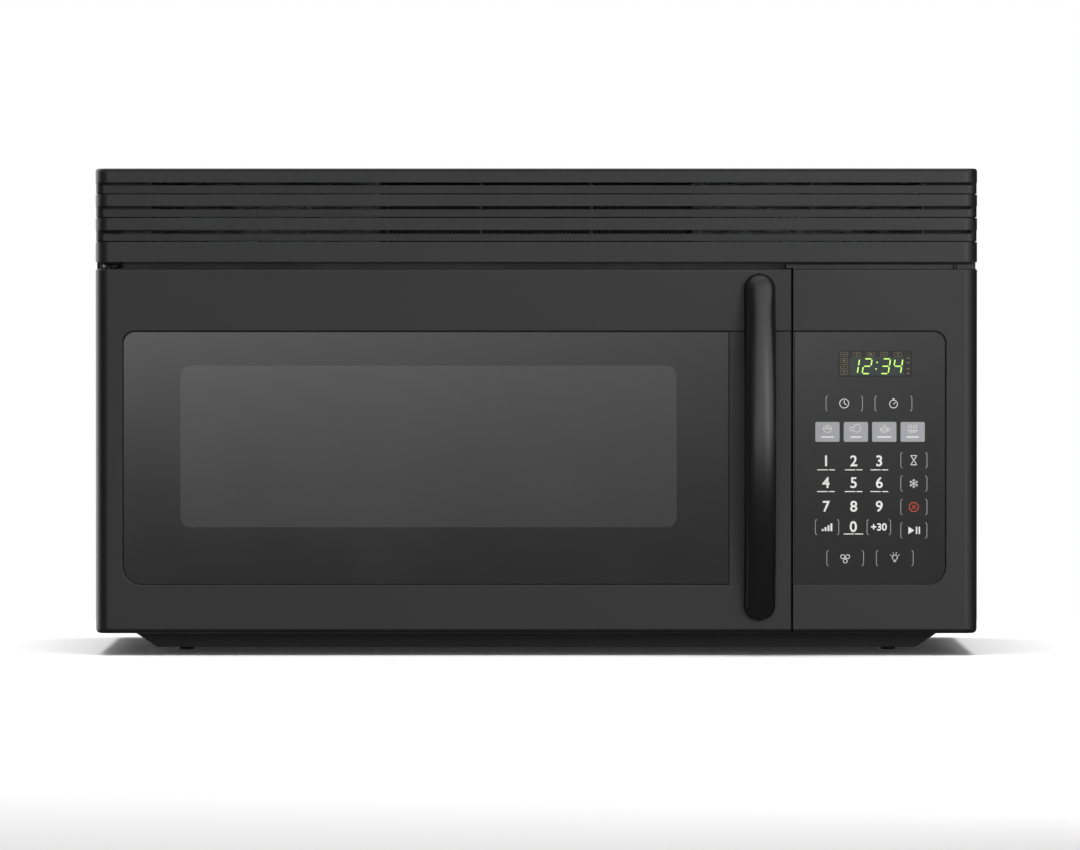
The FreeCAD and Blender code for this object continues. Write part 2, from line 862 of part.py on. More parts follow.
def oven_cavity():
    """The enamelled steel box of the oven, with a flange behind the front plate."""
    x0 = cavity_left - cavity_sheet
    x1 = cavity_right + cavity_sheet
    z0 = cavity_floor - cavity_sheet
    z1 = cavity_top + cavity_sheet
    outer = block(x0, x1, cavity_front, cavity_rear + cavity_sheet, z0, z1)

    def outer_edge(a, b):
        return along_y(a, b)

    outer = rounded(outer, cavity_round + cavity_sheet, outer_edge)
    flange = block(x0 - mouth_flange, x1 + mouth_flange / 2, cavity_front,
                   cavity_front + cavity_sheet, z0 - mouth_flange, z1 + mouth_flange)
    body = outer.fuse(flange)
    inner = block(cavity_left, cavity_right, cavity_front - through, cavity_rear, cavity_floor,
                  cavity_top)
    body = body.cut(rounded(inner, cavity_round, outer_edge))
    hole = rod(tray_x, tray_y, z0 - through, shaft_r + run_gap, cavity_sheet + 2 * through,
               (0, 0, 1))
    level = cavity_floor + guide_level + guide_height / 2
    mid = plate_back + guide_from_plate + guide_width / 2
    window = block(cavity_right - through, x1 + through, mid - guide_window[0] / 2,
                   mid + guide_window[0] / 2,
                   level - guide_window[1] / 2, level + guide_window[1] / 2)
    holes = [hole, window]
    for row in range(lamp_hole_rows):
        z = cavity_lamp_z() + (row - (lamp_hole_rows - 1) / 2) * lamp_hole_pitch
        for column in range(lamp_hole_columns):
            y = cavity_lamp_y() + (column - (lamp_hole_columns - 1) / 2) * lamp_hole_pitch
            holes.append(rod(cavity_right - through, y, z, lamp_hole_r,
                             cavity_sheet + 2 * through, (1, 0, 0)))
    return body.cut(holes)


def cavity_lamp_y():
    """Distance from front to back of the cavity's lamp."""
    return plate_back + lamp_from_plate


def cavity_lamp_z():
    """Height of the cavity's lamp."""
    return cavity_top - lamp_under_top


def waveguide():
    """The folded duct between the magnetron and the cavity."""
    x0 = cavity_right + cavity_sheet
    x1 = x0 + guide_depth
    y0 = plate_back + guide_from_plate
    z0 = cavity_floor + guide_level
    body = block(x0, x1, y0, y0 + guide_width, z0, z0 + guide_height)
    body = body.cut(block(x0 - through, x1 - plate_sheet, y0 + plate_sheet,
                          y0 + guide_width - plate_sheet, z0 + plate_sheet,
                          z0 + guide_height - plate_sheet))
    mid = y0 + guide_width / 2
    level = z0 + guide_height / 2
    return body.cut(rod(x0, mid, level, tube_antenna_r + run_gap, guide_depth + through,
                        (1, 0, 0)))


def waveguide_cover():
    """The thin mica sheet over the waveguide's mouth, inside the cavity."""
    mid = plate_back + guide_from_plate + guide_width / 2
    level = cavity_floor + guide_level + guide_height / 2
    return block(cavity_right - mica_thickness, cavity_right, mid - mica_size[0] / 2,
                 mid + mica_size[0] / 2, level - mica_size[1] / 2, level + mica_size[1] / 2)


def magnetron():
    """The tube: its yoke, cooling fins, core and the antenna in the waveguide."""
    x0 = cavity_right + cavity_sheet + guide_depth
    mid = plate_back + guide_from_plate + guide_width / 2
    level = cavity_floor + guide_level + guide_height / 2
    across, deep, tall = tube_yoke
    y0 = mid - deep / 2
    z0 = level - tall / 2
    shell = block(x0, x0 + across, y0, y0 + deep, z0, z0 + tall)
    shell = shell.cut(block(x0 + plate_sheet, x0 + across - plate_sheet, y0 - through,
                            y0 + deep + through,
                            z0 + plate_sheet, z0 + tall - plate_sheet))
    pieces = [shell, rod(x0, mid, level, tube_core_r, across, (1, 0, 0))]
    pitch = across / (tube_fins + 1)
    for index in range(tube_fins):
        x = x0 + pitch * (index + 1)
        pieces.append(block(x, x + tube_fin, y0 + through, y0 + deep - through, z0 + through,
                            z0 + tall - through))
    antenna = rod(x0 - tube_antenna_length, mid, level, tube_antenna_r,
                  tube_antenna_length + through,
                  (1, 0, 0))
    stem = rod(x0 + across - through, mid, level, tube_antenna_r, tube_antenna_length, (1, 0, 0))
    return fused(pieces + [antenna, stem])


# ==== Power parts ============================================================================
def part_x():
    """Left side of the heavy parts that stand on the right compartment's floor."""
    return bay_right - part_side_gap - core_size[0] - winding_grow


def transformer_core():
    """The laminated iron core, standing on the pan, with its two windows."""
    across, deep, tall = core_size
    x0 = part_x()
    y0 = plate_back + core_from_plate
    z0 = pan_level + plate_sheet
    core = block(x0, x0 + across, y0, y0 + deep, z0, z0 + tall)
    leg = deep / 4
    for start in (leg - core_window / 2, deep - leg - core_window / 2):
        core = core.cut(block(x0 - through, x0 + across + through, y0 + start,
                              y0 + start + core_window,
                              z0 + core_window, z0 + tall - core_window))
    return core


def transformer_windings():
    """The two copper coils, one over the other round the core's middle leg."""
    across, deep, tall = core_size
    x0 = part_x() - winding_grow
    x1 = part_x() + across + winding_grow
    y0 = plate_back + core_from_plate
    leg = deep / 4
    a = y0 + leg - core_window / 2 + fit_gap
    b = y0 + deep - leg + core_window / 2 - fit_gap
    inner_a = y0 + leg + core_window / 2 - fit_gap
    inner_b = y0 + deep - leg - core_window / 2 + fit_gap
    z0 = pan_level + plate_sheet + core_window + fit_gap
    room = (tall - 2 * core_window - 3 * fit_gap) / 2
    coils = []
    for index in range(2):
        low = z0 + index * (room + fit_gap)
        coil = block(x0, x1, a, b, low, low + room)
        hole = block(part_x() - fit_gap, part_x() + across + fit_gap, inner_a - 2 * fit_gap,
                     inner_b + 2 * fit_gap, low - through, low + room + through)
        coils.append(coil.cut(hole))
    return group(coils)


def hv_capacitor():
    """The oval steel can on its side edge, with its two blade terminals."""
    across, deep, tall = capacitor_size
    x0 = part_x()
    y0 = plate_back + capacitor_from_plate
    z0 = pan_level + plate_sheet
    can = block(x0, x0 + across, y0, y0 + deep, z0, z0 + tall)
    can = rounded(can, across / 2 - fit_gap, upright)
    pieces = [can]
    for shift in (-1, 1):
        mid = y0 + deep / 2 + shift * terminal_spread / 2
        pieces.append(block(x0 + across / 2 - tab_size[1] / 2, x0 + across / 2 + tab_size[1] / 2,
                            mid - tab_size[0] / 2, mid + tab_size[0] / 2, z0 + tall - through,
                            z0 + tall + tab_size[2]))
    return fused(pieces)


def hv_diode():
    """The diode across the capacitor's terminals, lying on the can."""
    across, deep, tall = capacitor_size
    x0 = part_x() + across * 0.5 - tab_size[1] / 2 - diode_r - fit_gap
    y0 = plate_back + capacitor_from_plate + deep / 2 - diode_length / 2
    return rod(x0, y0, pan_level + plate_sheet + tall + diode_r, diode_r, diode_length, (0, 1, 0))


def fan_x():
    """Middle of the cooling fan, across the right compartment."""
    return bay_right - fan_shroud / 2 - part_side_gap


def fan_shroud_plate():
    """The moulded plate that carries the cooling fan and guides its air over the tube."""
    y1 = back - case_sheet - fan_from_back
    half = fan_shroud / 2
    x = fan_x()
    body = block(x - half, x + half, y1 - fan_shroud_depth, y1, fan_level - half, fan_level + half)
    body = rounded(body, shroud_round, along_y)
    core = block(x - half + door_wall, x + half - door_wall, y1 - fan_shroud_depth - through,
                 y1 - door_wall, fan_level - half + door_wall, fan_level + half - door_wall)
    body = body.cut(core)
    body = body.cut(rod(x, y1 - fan_shroud_depth, fan_level, fan_r + fan_tip_gap,
                        fan_shroud_depth + through, (0, 1, 0)))
    spoke = block(x - half + through, x + half - through, y1 - door_wall, y1,
                  fan_level - shroud_bar / 2,
                  fan_level + shroud_bar / 2)
    spoke = spoke.cut(rod(x, y1 - door_wall - through, fan_level, fan_shaft_r + run_gap,
                          door_wall + 2 * through, (0, 1, 0)))
    feet = []
    for side in (-1, 1):
        edge = x + side * (half - shroud_foot_inset)
        feet.append(block(edge - shroud_bar / 2, edge + shroud_bar / 2, y1 - fan_shroud_depth, y1,
                          pan_level + plate_sheet, fan_level - half + through))
    return fused([body, spoke] + feet)


def fan_motor_body():
    """The shaded-pole motor behind the cooling fan, with its shaft hole."""
    across, deep, tall = fan_motor
    y0 = back - case_sheet - fan_from_back
    x = fan_x()
    body = block(x - across / 2, x + across / 2, y0, y0 + deep, fan_level - tall / 2,
                 fan_level + tall / 2)
    body = rounded(body, fan_motor_round, along_y)
    return body.cut(rod(x, y0 - through, fan_level, fan_shaft_r + pin_play,
                        fan_shaft_sunk + fan_tip_gap, (0, 1, 0)))


def cooling_fan():
    """The five-bladed fan on its shaft."""
    x = fan_x()
    y1 = back - case_sheet - fan_from_back - door_wall - run_gap * 2
    depth = fan_shroud_depth - door_wall - run_gap * 4
    hub = rod(x, y1 - depth, fan_level, fan_hub_r, depth, (0, 1, 0))
    shaft = rod(x, y1 - through, fan_level, fan_shaft_r, door_wall + fan_shaft_sunk, (0, 1, 0))
    pieces = [hub, shaft]
    mid = y1 - depth / 2
    for index in range(fan_blades):
        blade = block(x - fan_blade_width / 2, x + fan_blade_width / 2,
                      mid - fan_blade_thickness / 2, mid + fan_blade_thickness / 2,
                      fan_level + fan_hub_r - 2 * through, fan_level + fan_r)
        blade.rotate(Vector(x, mid, fan_level), Vector(0, 0, 1), fan_pitch)
        blade.rotate(Vector(x, mid, fan_level), Vector(0, 1, 0), index * 360 / fan_blades)
        pieces.append(blade)
    return fused(pieces)


def line_filter():
    """The mains filter board with its two coils, on the side of the case."""
    across, deep, thick = filter_board
    x1 = bay_right - board_post
    y0 = plate_back + core_from_plate
    z0 = door_top - deep - air_sill
    plate = block(x1 - thick, x1, y0, y0 + across, z0, z0 + deep)
    pieces = [plate]
    for share in coil_places:
        level = z0 + deep * share
        pieces.append(rod(x1 - thick - choke_coil_r + sunk, y0 + (across - choke_coil_length) / 2,
                          level, choke_coil_r, choke_coil_length, (0, 1, 0)))
    for low in (z0 + post_r, z0 + deep - post_r):
        pieces.append(rod(x1 - sunk, y0 + across / 2, low, post_r, board_post + sunk, (1, 0, 0)))
    return fused(pieces)


def thermal_cutouts():
    """The two disc thermostats: one on the magnetron's side, one on the cavity's top."""
    discs = []
    z0 = cavity_top + cavity_sheet
    for index in range(2):
        x = cavity_right - cutout_from_side - cutout_pitch * index
        disc = rod(x, tray_y, z0, cutout_r, cutout_height, (0, 0, 1))
        ears = block(x - cutout_ear / 2, x + cutout_ear / 2, tray_y - cutout_r / 2,
                     tray_y + cutout_r / 2, z0, z0 + cavity_sheet)
        pieces = [disc, ears]
        for side in (-1, 1):
            mid = x + side * cutout_tab_shift
            pieces.append(block(mid - cutout_tab / 2, mid + cutout_tab / 2,
                                tray_y - tab_size[1] / 2, tray_y + tab_size[1] / 2,
                                z0 + cutout_height - sunk, z0 + cutout_height + tab_size[2]))
        discs.append(fused(pieces))
    return group(discs)


def lamp_holder():
    """The folded bracket that holds the cavity's lamp against the cavity's side."""
    across, deep, tall = lamp_bracket
    x0 = cavity_right + cavity_sheet
    y = cavity_lamp_y()
    z = cavity_lamp_z()
    body = block(x0, x0 + across, y - deep / 2, y + deep / 2, z - tall / 2, z + tall / 2)
    body = body.cut(block(x0 - through, x0 + across - lamp_wall, y - deep / 2 + lamp_wall,
                          y + deep / 2 - lamp_wall, z - tall / 2 + lamp_wall,
                          z + tall / 2 - lamp_wall))
    return body


def cavity_lamp():
    """The cavity's bulb and its base."""
    x1 = cavity_right + cavity_sheet + lamp_bracket[0] - lamp_wall
    y = cavity_lamp_y()
    z = cavity_lamp_z()
    base = rod(x1 - bulb_neck, y, z, cavity_bulb_r - bulb_shoulder, bulb_neck, (1, 0, 0))
    tip_x = x1 - bulb_neck + bulb_shoulder - cavity_bulb_length + cavity_bulb_r
    glass = rod(tip_x, y, z, cavity_bulb_r, cavity_bulb_length - cavity_bulb_r, (1, 0, 0))
    tip = Part.makeSphere(cavity_bulb_r, Vector(tip_x, y, z))
    return fused([base, glass, tip])


# ==== Latch board ============================================================================
def latch_board():
    """The moulded bracket behind the latch slots, with the ledges the hooks sit behind."""
    x0 = latch_x - board_width / 2
    x1 = x0 + board_width
    low = hook_levels()[0] - slot_height
    high = hook_levels()[1] + slot_height
    body = block(x0, x1, plate_back, plate_back + board_depth, low, high)
    body = body.cut(block(x0 + board_wall, x1 - board_wall, plate_back + board_wall,
                          plate_back + board_depth + through, low + board_wall, high - board_wall))
    body = body.cut(latch_slots(plate_back - through, plate_back + board_wall + through))
    ledges = []
    for level in hook_levels():
        ledge_top = level - hook_height / 2 - hook_nose - run_gap
        ledges.append(block(x0 + through, x1 - through, plate_back + through,
                            plate_back + catch_length,
                            ledge_top - ledge_thickness, ledge_top))
    return fused([body] + ledges)


def interlock_switches():
    """The three snap switches that the hooks work, on the latch board's wall."""
    x1 = latch_x + board_width / 2 - board_wall
    y0 = plate_back + catch_length + switch_air
    switches = []
    for index in range(switch_count):
        z = latch_mid + (index - (switch_count - 1) / 2) * switch_pitch
        body = block(x1 - switch_size[0], x1, y0, y0 + switch_size[1], z - switch_size[2] / 2,
                     z + switch_size[2] / 2)
        tabs = []
        for place in switch_tab_places:
            y = y0 + switch_size[1] * place
            tabs.append(block(x1 - switch_size[0] - tab_size[2], x1 - switch_size[0] + sunk,
                              y - switch_tab / 2, y + switch_tab / 2,
                              z - tab_size[1] / 2, z + tab_size[1] / 2))
        switches.append(fused([body] + tabs))
    return group(switches)


# ==== Turntable ==============================================================================
def turntable_motor():
    """The flat synchronous motor under the cavity's floor, with its two ears."""
    z1 = cavity_floor - cavity_sheet - fit_gap
    z0 = z1 - motor_disc_height
    body = rod(tray_x, tray_y, z0, motor_disc_r, motor_disc_height, (0, 0, 1))
    reach = motor_disc_r + motor_ear
    ears = block(tray_x - reach, tray_x + reach, tray_y - motor_ear_width / 2,
                 tray_y + motor_ear_width / 2, z1 - plate_sheet, z1)
    body = body.fuse(ears)
    return body.cut(rod(tray_x, tray_y, z1 - shaft_bore, shaft_r + pin_play, shaft_bore + through,
                        (0, 0, 1)))


def turntable_coupler():
    """The three-armed driver under the tray, on the motor's shaft."""
    z0 = cavity_floor + run_gap
    hub = rod(tray_x, tray_y, z0, coupler_hub_r, coupler_height, (0, 0, 1))
    shaft = rod(tray_x, tray_y, z0 - shaft_sunk, shaft_r, shaft_sunk + through,
                (0, 0, 1))
    arm = block(tray_x, tray_x + coupler_arm_r, tray_y - coupler_arm_width / 2,
                tray_y + coupler_arm_width / 2, z0, z0 + coupler_height)
    end = rod(tray_x + coupler_arm_r, tray_y, z0, coupler_arm_width / 2, coupler_height,
              (0, 0, 1))
    arms = ring_of(arm.fuse(end), arm_count, tray_x, tray_y)
    return fused([hub, shaft] + arms)


def wheel_centre():
    """Distance of the wheels' middles from the turntable's axis."""
    return ring_r + ring_bar / 2 + run_gap + wheel_width / 2


def roller_ring():
    """The moulded ring with three outward axles for its wheels."""
    z0 = wheel_level - ring_height / 2
    body = rod(tray_x, tray_y, z0, ring_r + ring_bar / 2, ring_height, (0, 0, 1))
    body = body.cut(rod(tray_x, tray_y, z0 - through, ring_r - ring_bar / 2,
                        ring_height + 2 * through,
                        (0, 0, 1)))
    axle = rod(tray_x + ring_r, tray_y, wheel_level, wheel_hub,
               ring_bar / 2 + wheel_width + 2 * run_gap, (1, 0, 0))
    head = rod(tray_x + ring_r + ring_bar / 2 + wheel_width + 2 * run_gap, tray_y, wheel_level,
               wheel_hub + axle_head, axle_head, (1, 0, 0))
    axles = ring_of(axle.fuse(head), wheel_count, tray_x, tray_y)
    return fused([body] + axles)


def wheels():
    """The three wheels of the ring, each on its axle."""
    start = tray_x + ring_r + ring_bar / 2 + run_gap
    wheel = rod(start, tray_y, wheel_level, wheel_r, wheel_width, (1, 0, 0))
    wheel = wheel.makeChamfer(wheel_chamfer,
                              [edge for edge in wheel.Edges if len(edge.Vertexes) == 1])
    wheel = wheel.cut(rod(start - through, tray_y, wheel_level, wheel_hub + pin_play,
                          wheel_width + 2 * through, (1, 0, 0)))
    return ring_of(wheel, wheel_count, tray_x, tray_y)


def glass_tray():
    """The turntable: a shallow dish with a raised rim and three lugs for the driver."""
    z0 = tray_level
    half = tray_thickness
    points = [Vector(0, 0, z0), Vector(tray_r - tray_slope, 0, z0),
              Vector(tray_r, 0, z0 + tray_rim),
              Vector(tray_r - tray_lip, 0, z0 + tray_rim + through),
              Vector(tray_r - tray_slope - through, 0, z0 + half),
              Vector(0, 0, z0 + half)]
    face = Part.Face(Part.makePolygon(points + points[:1]))
    dish = face.revolve(Vector(0, 0, 0), Vector(0, 0, 1), 360)
    dish.translate(Vector(tray_x, tray_y, 0))
    low = cavity_floor + run_gap + coupler_height - lug_height
    lug = rod(tray_x, tray_y, low, lug_r, z0 - low + through, (0, 0, 1))
    lug.translate(Vector(coupler_arm_r - lug_inset, 0, 0))
    lug.rotate(Vector(tray_x, tray_y, 0), Vector(0, 0, 1), lug_turn)
    return fused([dish] + ring_of(lug, arm_count, tray_x, tray_y))


# ==== Vent blower ============================================================================
def blower_side(side):
    """Inner end, across the oven, of one of the two scrolls."""
    return side * (blower_motor_length / 2 + run_gap)


def scroll(side):
    """One thin-walled scroll with an inlet on its outer side and a duct up to the top."""
    inner = blower_side(side)
    x0 = min(inner, inner + side * scroll_width)
    x1 = x0 + scroll_width
    z1 = top - case_sheet - outlet_drop
    duct_y1 = blower_y + scroll_r
    duct_y0 = blower_y
    outer = rod(x0, blower_y, blower_z, scroll_r, scroll_width, (1, 0, 0))
    outer = outer.fuse(block(x0, x1, duct_y0, duct_y1, blower_z, z1))
    wall = scroll_wall
    hollow = rod(x0 + wall, blower_y, blower_z, scroll_r - wall, scroll_width - 2 * wall,
                 (1, 0, 0))
    hollow = hollow.fuse(block(x0 + wall, x1 - wall, duct_y0 + wall, duct_y1 - wall, blower_z,
                               blower_z + scroll_r + through))
    body = outer.cut(hollow)
    for place, radius in ((inner, blower_shaft_r + run_gap),
                          (inner + side * scroll_width, scroll_inlet_r)):
        body = body.cut(rod(place - 2 * scroll_wall, blower_y, blower_z, radius, 4 * scroll_wall,
                            (1, 0, 0)))
    return body.removeSplitter()


def blower_wheel(side):
    """A squirrel-cage wheel: a ring of blades between a back plate and a rim."""
    inner = blower_side(side) + side * (scroll_wall + run_gap * 2)
    x0 = min(inner, inner + side * blower_wheel_width)
    thick = blower_plate
    plate = rod(min(inner, inner + side * thick), blower_y, blower_z, blower_wheel_r, thick,
                (1, 0, 0))
    hub = rod(min(inner, inner + side * blower_hub_length), blower_y, blower_z,
              blower_shaft_r + blower_hub_wall, blower_hub_length, (1, 0, 0))
    far = inner + side * (blower_wheel_width - thick)
    rim_x = min(far, far + side * thick)
    rim = rod(rim_x, blower_y, blower_z, blower_wheel_r, thick, (1, 0, 0))
    rim = rim.cut(rod(rim_x - through, blower_y, blower_z, blower_wheel_r - blower_blade_depth,
                      thick + 2 * through, (1, 0, 0)))
    blades = []
    for index in range(blower_blades):
        blade = block(x0, x0 + blower_wheel_width, blower_y - blower_blade / 2,
                      blower_y + blower_blade / 2, blower_z + blower_wheel_r - blower_blade_depth,
                      blower_z + blower_wheel_r - sunk)
        blade.rotate(Vector(0, blower_y, blower_z + blower_wheel_r - blower_blade_depth / 2),
                     Vector(1, 0, 0), blower_pitch)
        blade.rotate(Vector(0, blower_y, blower_z), Vector(1, 0, 0), index * 360 / blower_blades)
        blades.append(blade)
    body = fused([plate, rim, hub] + blades)
    bore = rod(x0 - through, blower_y, blower_z, blower_shaft_r + pin_play,
               blower_wheel_width + 2 * through, (1, 0, 0))
    return body.cut(bore)


def blower_shaft():
    """The shaft that runs through the motor and carries both wheels."""
    reach = blower_motor_length / 2 + run_gap * 3 + scroll_wall + blower_hub_length - through
    return rod(-reach, blower_y, blower_z, blower_shaft_r, 2 * reach, (1, 0, 0))


def blower_motor():
    """The motor between the two scrolls, on its cradle down to the cavity's top."""
    x0 = -blower_motor_length / 2
    body = rod(x0 + motor_cap, blower_y, blower_z, blower_motor_r,
               blower_motor_length - 2 * motor_cap, (1, 0, 0))
    ends = rod(x0, blower_y, blower_z, motor_cap_r, blower_motor_length, (1, 0, 0))
    foot_z = cavity_top + cavity_sheet
    near = x0 + cradle_inset
    far = -near
    cradle = block(near, far, blower_y - cradle_width / 2, blower_y + cradle_width / 2, foot_z,
                   blower_z)
    cradle = cradle.cut(block(near + motor_cradle, far - motor_cradle,
                              blower_y - blower_motor_r, blower_y + blower_motor_r,
                              foot_z + motor_cradle, blower_z - blower_motor_r - through))
    body = fused([body, ends, cradle])
    return body.cut(rod(x0 - through, blower_y, blower_z, blower_shaft_r + pin_play,
                        blower_motor_length + 2 * through, (1, 0, 0)))


# ==== Case ===================================================================================
def outer_wrap():
    """The one-piece folded cover: top and two sides, with flanges turned in at the bottom."""
    outer = block(left, right, plate_face, back, case_bottom, top)

    def top_side(a, b):
        return along_y(a, b) and a.z > top - through

    outer = rounded(outer, wrap_round, top_side)
    inner = block(left + case_sheet, right - case_sheet, plate_face - through, back + through,
                  case_bottom - through, top - case_sheet)

    def inner_side(a, b):
        return along_y(a, b) and a.z > top - case_sheet - fit_gap

    body = outer.cut(rounded(inner, wrap_round - case_sheet, inner_side))
    flange_y = plate_back + pan_front_inset
    flanges = [block(left, left + case_flange, flange_y, back, case_bottom,
                     case_bottom + case_sheet),
               block(right - case_flange, right, flange_y, back, case_bottom,
                     case_bottom + case_sheet)]
    body = fused([body] + flanges)
    cuts = [block(-exhaust_width / 2, exhaust_width / 2, back - exhaust_from_back - exhaust_depth,
                  back - exhaust_from_back, top - 2 * through, top + through)]
    cuts.append(rod(right - cord_from_right, back - cord_from_back, top - 2 * through,
                    cord_hole_r, 3 * through, (0, 0, 1)))
    for side in (-1, 1):
        cuts.append(rod(side * bolt_spacing / 2, front + bolt_from_front, top - 2 * through,
                        bolt_hole_r + run_gap, 3 * through, (0, 0, 1)))
    for place, axis in case_screw_places():
        if axis != (0, -1, 0):
            cuts.append(screw_seat(place, axis))
    return body.cut(cuts)


def hanging_nuts():
    """The two tapped inserts that take the bolts through the cabinet above."""
    nuts = []
    z1 = top - case_sheet
    for side in (-1, 1):
        x = side * bolt_spacing / 2
        y = front + bolt_from_front
        nut = rod(x, y, z1 - bolt_nut_length, bolt_nut_r, bolt_nut_length, (0, 0, 1))
        bridge = block(x - nut_bridge[0] / 2, x + nut_bridge[0] / 2, y - nut_bridge[1] / 2,
                       y + nut_bridge[1] / 2, z1 - plate_sheet, z1)
        nut = nut.fuse(bridge).removeSplitter()
        nuts.append(nut.cut(rod(x, y, z1 - bolt_nut_length - through, bolt_hole_r,
                                bolt_nut_length + 2 * through, (0, 0, 1))))
    return group(nuts)


def case_screw_places():
    """Seats and directions of the screws that hold the grille and the back plate."""
    places = []
    for x in (-grille_screw_spacing / 2, 0.0, grille_screw_spacing / 2):
        places.append((Vector(x, plate_face + grille_screw_back, top), (0, 0, -1)))
    for side in (-1, 1):
        for z in (case_bottom + back_screw_inset, top - back_screw_inset):
            places.append((Vector(side * (width / 2 - back_screw_inset), back, z), (0, -1, 0)))
    return places


def screw_seat(place, axis):
    """The countersunk hole that one screw of the case goes through."""
    return countersunk(place.x, place.y, place.z, case_screw_r, 2 * case_screw_length,
                       case_screw_head_r + pin_play, case_screw_head, axis)


def case_screws():
    """The screws of the cover: three on top over the grille, four at the back."""
    screws = []
    for place, axis in case_screw_places():
        screws.append(countersunk(place.x, place.y, place.z, case_screw_r - pin_play,
                                  case_screw_length, case_screw_head_r, case_screw_head, axis))
    return group(screws)


def rear_plate():
    """The galvanised back with a turned-in rim, its wall hooks' slots and its screw holes."""
    side = case_sheet + fit_gap
    y0 = back - back_rim
    z0 = case_bottom + case_sheet + fit_gap
    body = block(left + side, right - side, y0, back, z0, top - side)
    body = body.cut(block(left + side + case_sheet, right - side - case_sheet, y0 - through,
                          back - case_sheet, z0 + case_sheet, top - side - case_sheet))
    cuts = []
    for shift in (-1, 0, 1):
        x = shift * back_hook_spacing / 2
        cuts.append(block(x - back_hook_width / 2, x + back_hook_width / 2, back - 2 * through,
                          back + through,
                          back_hook_level, back_hook_level + back_hook_height))
    for place, axis in case_screw_places():
        if axis == (0, -1, 0):
            cuts.append(screw_seat(place, axis))
    return body.cut(cuts)


def cord_gland():
    """The rubber bushing of the supply cord's hole in the top."""
    x = right - cord_from_right
    y = back - cord_from_back
    low = rod(x, y, top - case_sheet - gland_collar, cord_hole_r + gland_wall, gland_collar,
              (0, 0, 1))
    neck = rod(x, y, top - case_sheet - through, cord_hole_r, case_sheet + through, (0, 0, 1))
    body = fused([low, neck])
    return body.cut(rod(x, y, top - case_sheet - gland_collar - through,
                        cord_hole_r - gland_wall * 2, case_sheet + gland_collar + 2 * through,
                        (0, 0, 1)))


# ==== Underside ==============================================================================
def base_pan():
    """The dished underside: a steel pan with sloped sides, cut for filters and lamps."""
    y0 = plate_back + pan_front_inset
    y1 = back - back_rim - fit_gap
    z1 = case_bottom
    z0 = pan_level

    def section(low, high, grow):
        x0 = left + pan_side_inset + grow
        x1 = right - pan_side_inset - grow
        points = [Vector(x0 - pan_slope, y0 + grow, high), Vector(x0, y0 + grow, low),
                  Vector(x1, y0 + grow, low), Vector(x1 + pan_slope, y0 + grow, high)]
        face = Part.Face(Part.makePolygon(points + points[:1]))
        return face.extrude(Vector(0, y1 - y0 - 2 * grow, 0))

    outer = section(z0, z1, 0.0)
    body = outer.cut(section(z0 + plate_sheet, z1 + plate_sheet, plate_sheet))
    cuts = []
    for x0, x1, a, b in pan_openings():
        cuts.append(block(x0, x1, a, b, z0 - through, z0 + plate_sheet + through))
    body = body.cut(cuts)
    rims = []
    for side in (-1, 1):
        a = left + case_sheet + fit_gap
        b = left + pan_side_inset - pan_slope + plate_sheet
        if side > 0:
            a, b = -b, -a
        rims.append(block(a, b, y0, y1, z1 - plate_sheet, z1))
    body = fused([body] + rims)
    for index in range(vent_slots):
        x = bay_left + vent_pitch * (index + 1)
        body = body.cut(block(x, x + vent_slot, y1 - vent_length - vent_back, y1 - vent_back,
                              z0 - through, z0 + plate_sheet + through))
    return body


def pan_openings():
    """The four openings of the underside: two for filters, two for lamps."""
    boxes = []
    y1 = back - filter_from_back
    for side in (-1, 1):
        mid = side * (filter_opening_width + filter_between) / 2 + filter_shift
        boxes.append([mid - filter_opening_width / 2, mid + filter_opening_width / 2,
                      y1 - filter_opening_depth, y1])
    y0 = front + lamp_from_front + pan_front_inset
    for side in (-1, 1):
        mid = side * lamp_spacing / 2
        boxes.append([mid - lamp_opening_width / 2, mid + lamp_opening_width / 2, y0,
                      y0 + lamp_opening_depth])
    return boxes


def grease_filter(index):
    """A framed mesh filter, sitting on the rim of its opening."""
    x0, x1, y0, y1 = pan_openings()[index]
    z0 = pan_level + plate_sheet
    lap = filter_lap
    body = block(x0 - lap, x1 + lap, y0 - lap, y1 + lap, z0, z0 + grease_thickness)
    core = block(x0 - lap + grease_frame, x1 + lap - grease_frame, y0 - lap + grease_frame,
                 y1 + lap - grease_frame, z0 - through, z0 + grease_thickness + through)
    mesh = block(x0 - lap + grease_frame - through, x1 + lap - grease_frame + through,
                 y0 - lap + grease_frame - through, y1 + lap - grease_frame + through,
                 z0 + grease_web,
                 z0 + grease_thickness - grease_web)
    return body.cut(core).fuse(mesh).removeSplitter()


def surface_lamp_lenses():
    """The two clear covers of the lamps that light the cooktop."""
    lenses = []
    for x0, x1, y0, y1 in pan_openings()[2:]:
        z0 = pan_level + plate_sheet
        plate = block(x0 - lens_lap, x1 + lens_lap, y0 - lens_lap, y1 + lens_lap, z0,
                      z0 + lens_thickness)
        boss = block(x0 + fit_gap, x1 - fit_gap, y0 + fit_gap, y1 - fit_gap, pan_level,
                     z0 + through)
        lens = plate.fuse(boss).removeSplitter()
        lenses.append(lens)
    return group(lenses)


def surface_sockets():
    """The two lamp holders, each on a bracket that stands on the pan."""
    sockets = []
    for x0, x1, y0, y1 in pan_openings()[2:]:
        y = (y0 + y1) / 2
        z = surface_lamp_level()
        body = rod(x1 - socket_reach, y, z, socket_r, socket_length, (1, 0, 0))
        body = body.cut(rod(x1 - socket_reach - through, y, z, bulb_base_r + pin_play,
                            socket_length - socket_floor + through, (1, 0, 0)))
        post_x = x1 + socket_length - socket_reach - sunk
        foot = block(post_x, post_x + plate_sheet, y - socket_r, y + socket_r,
                     pan_level + plate_sheet, z + socket_r)
        sockets.append(fused([body, foot]))
    return group(sockets)


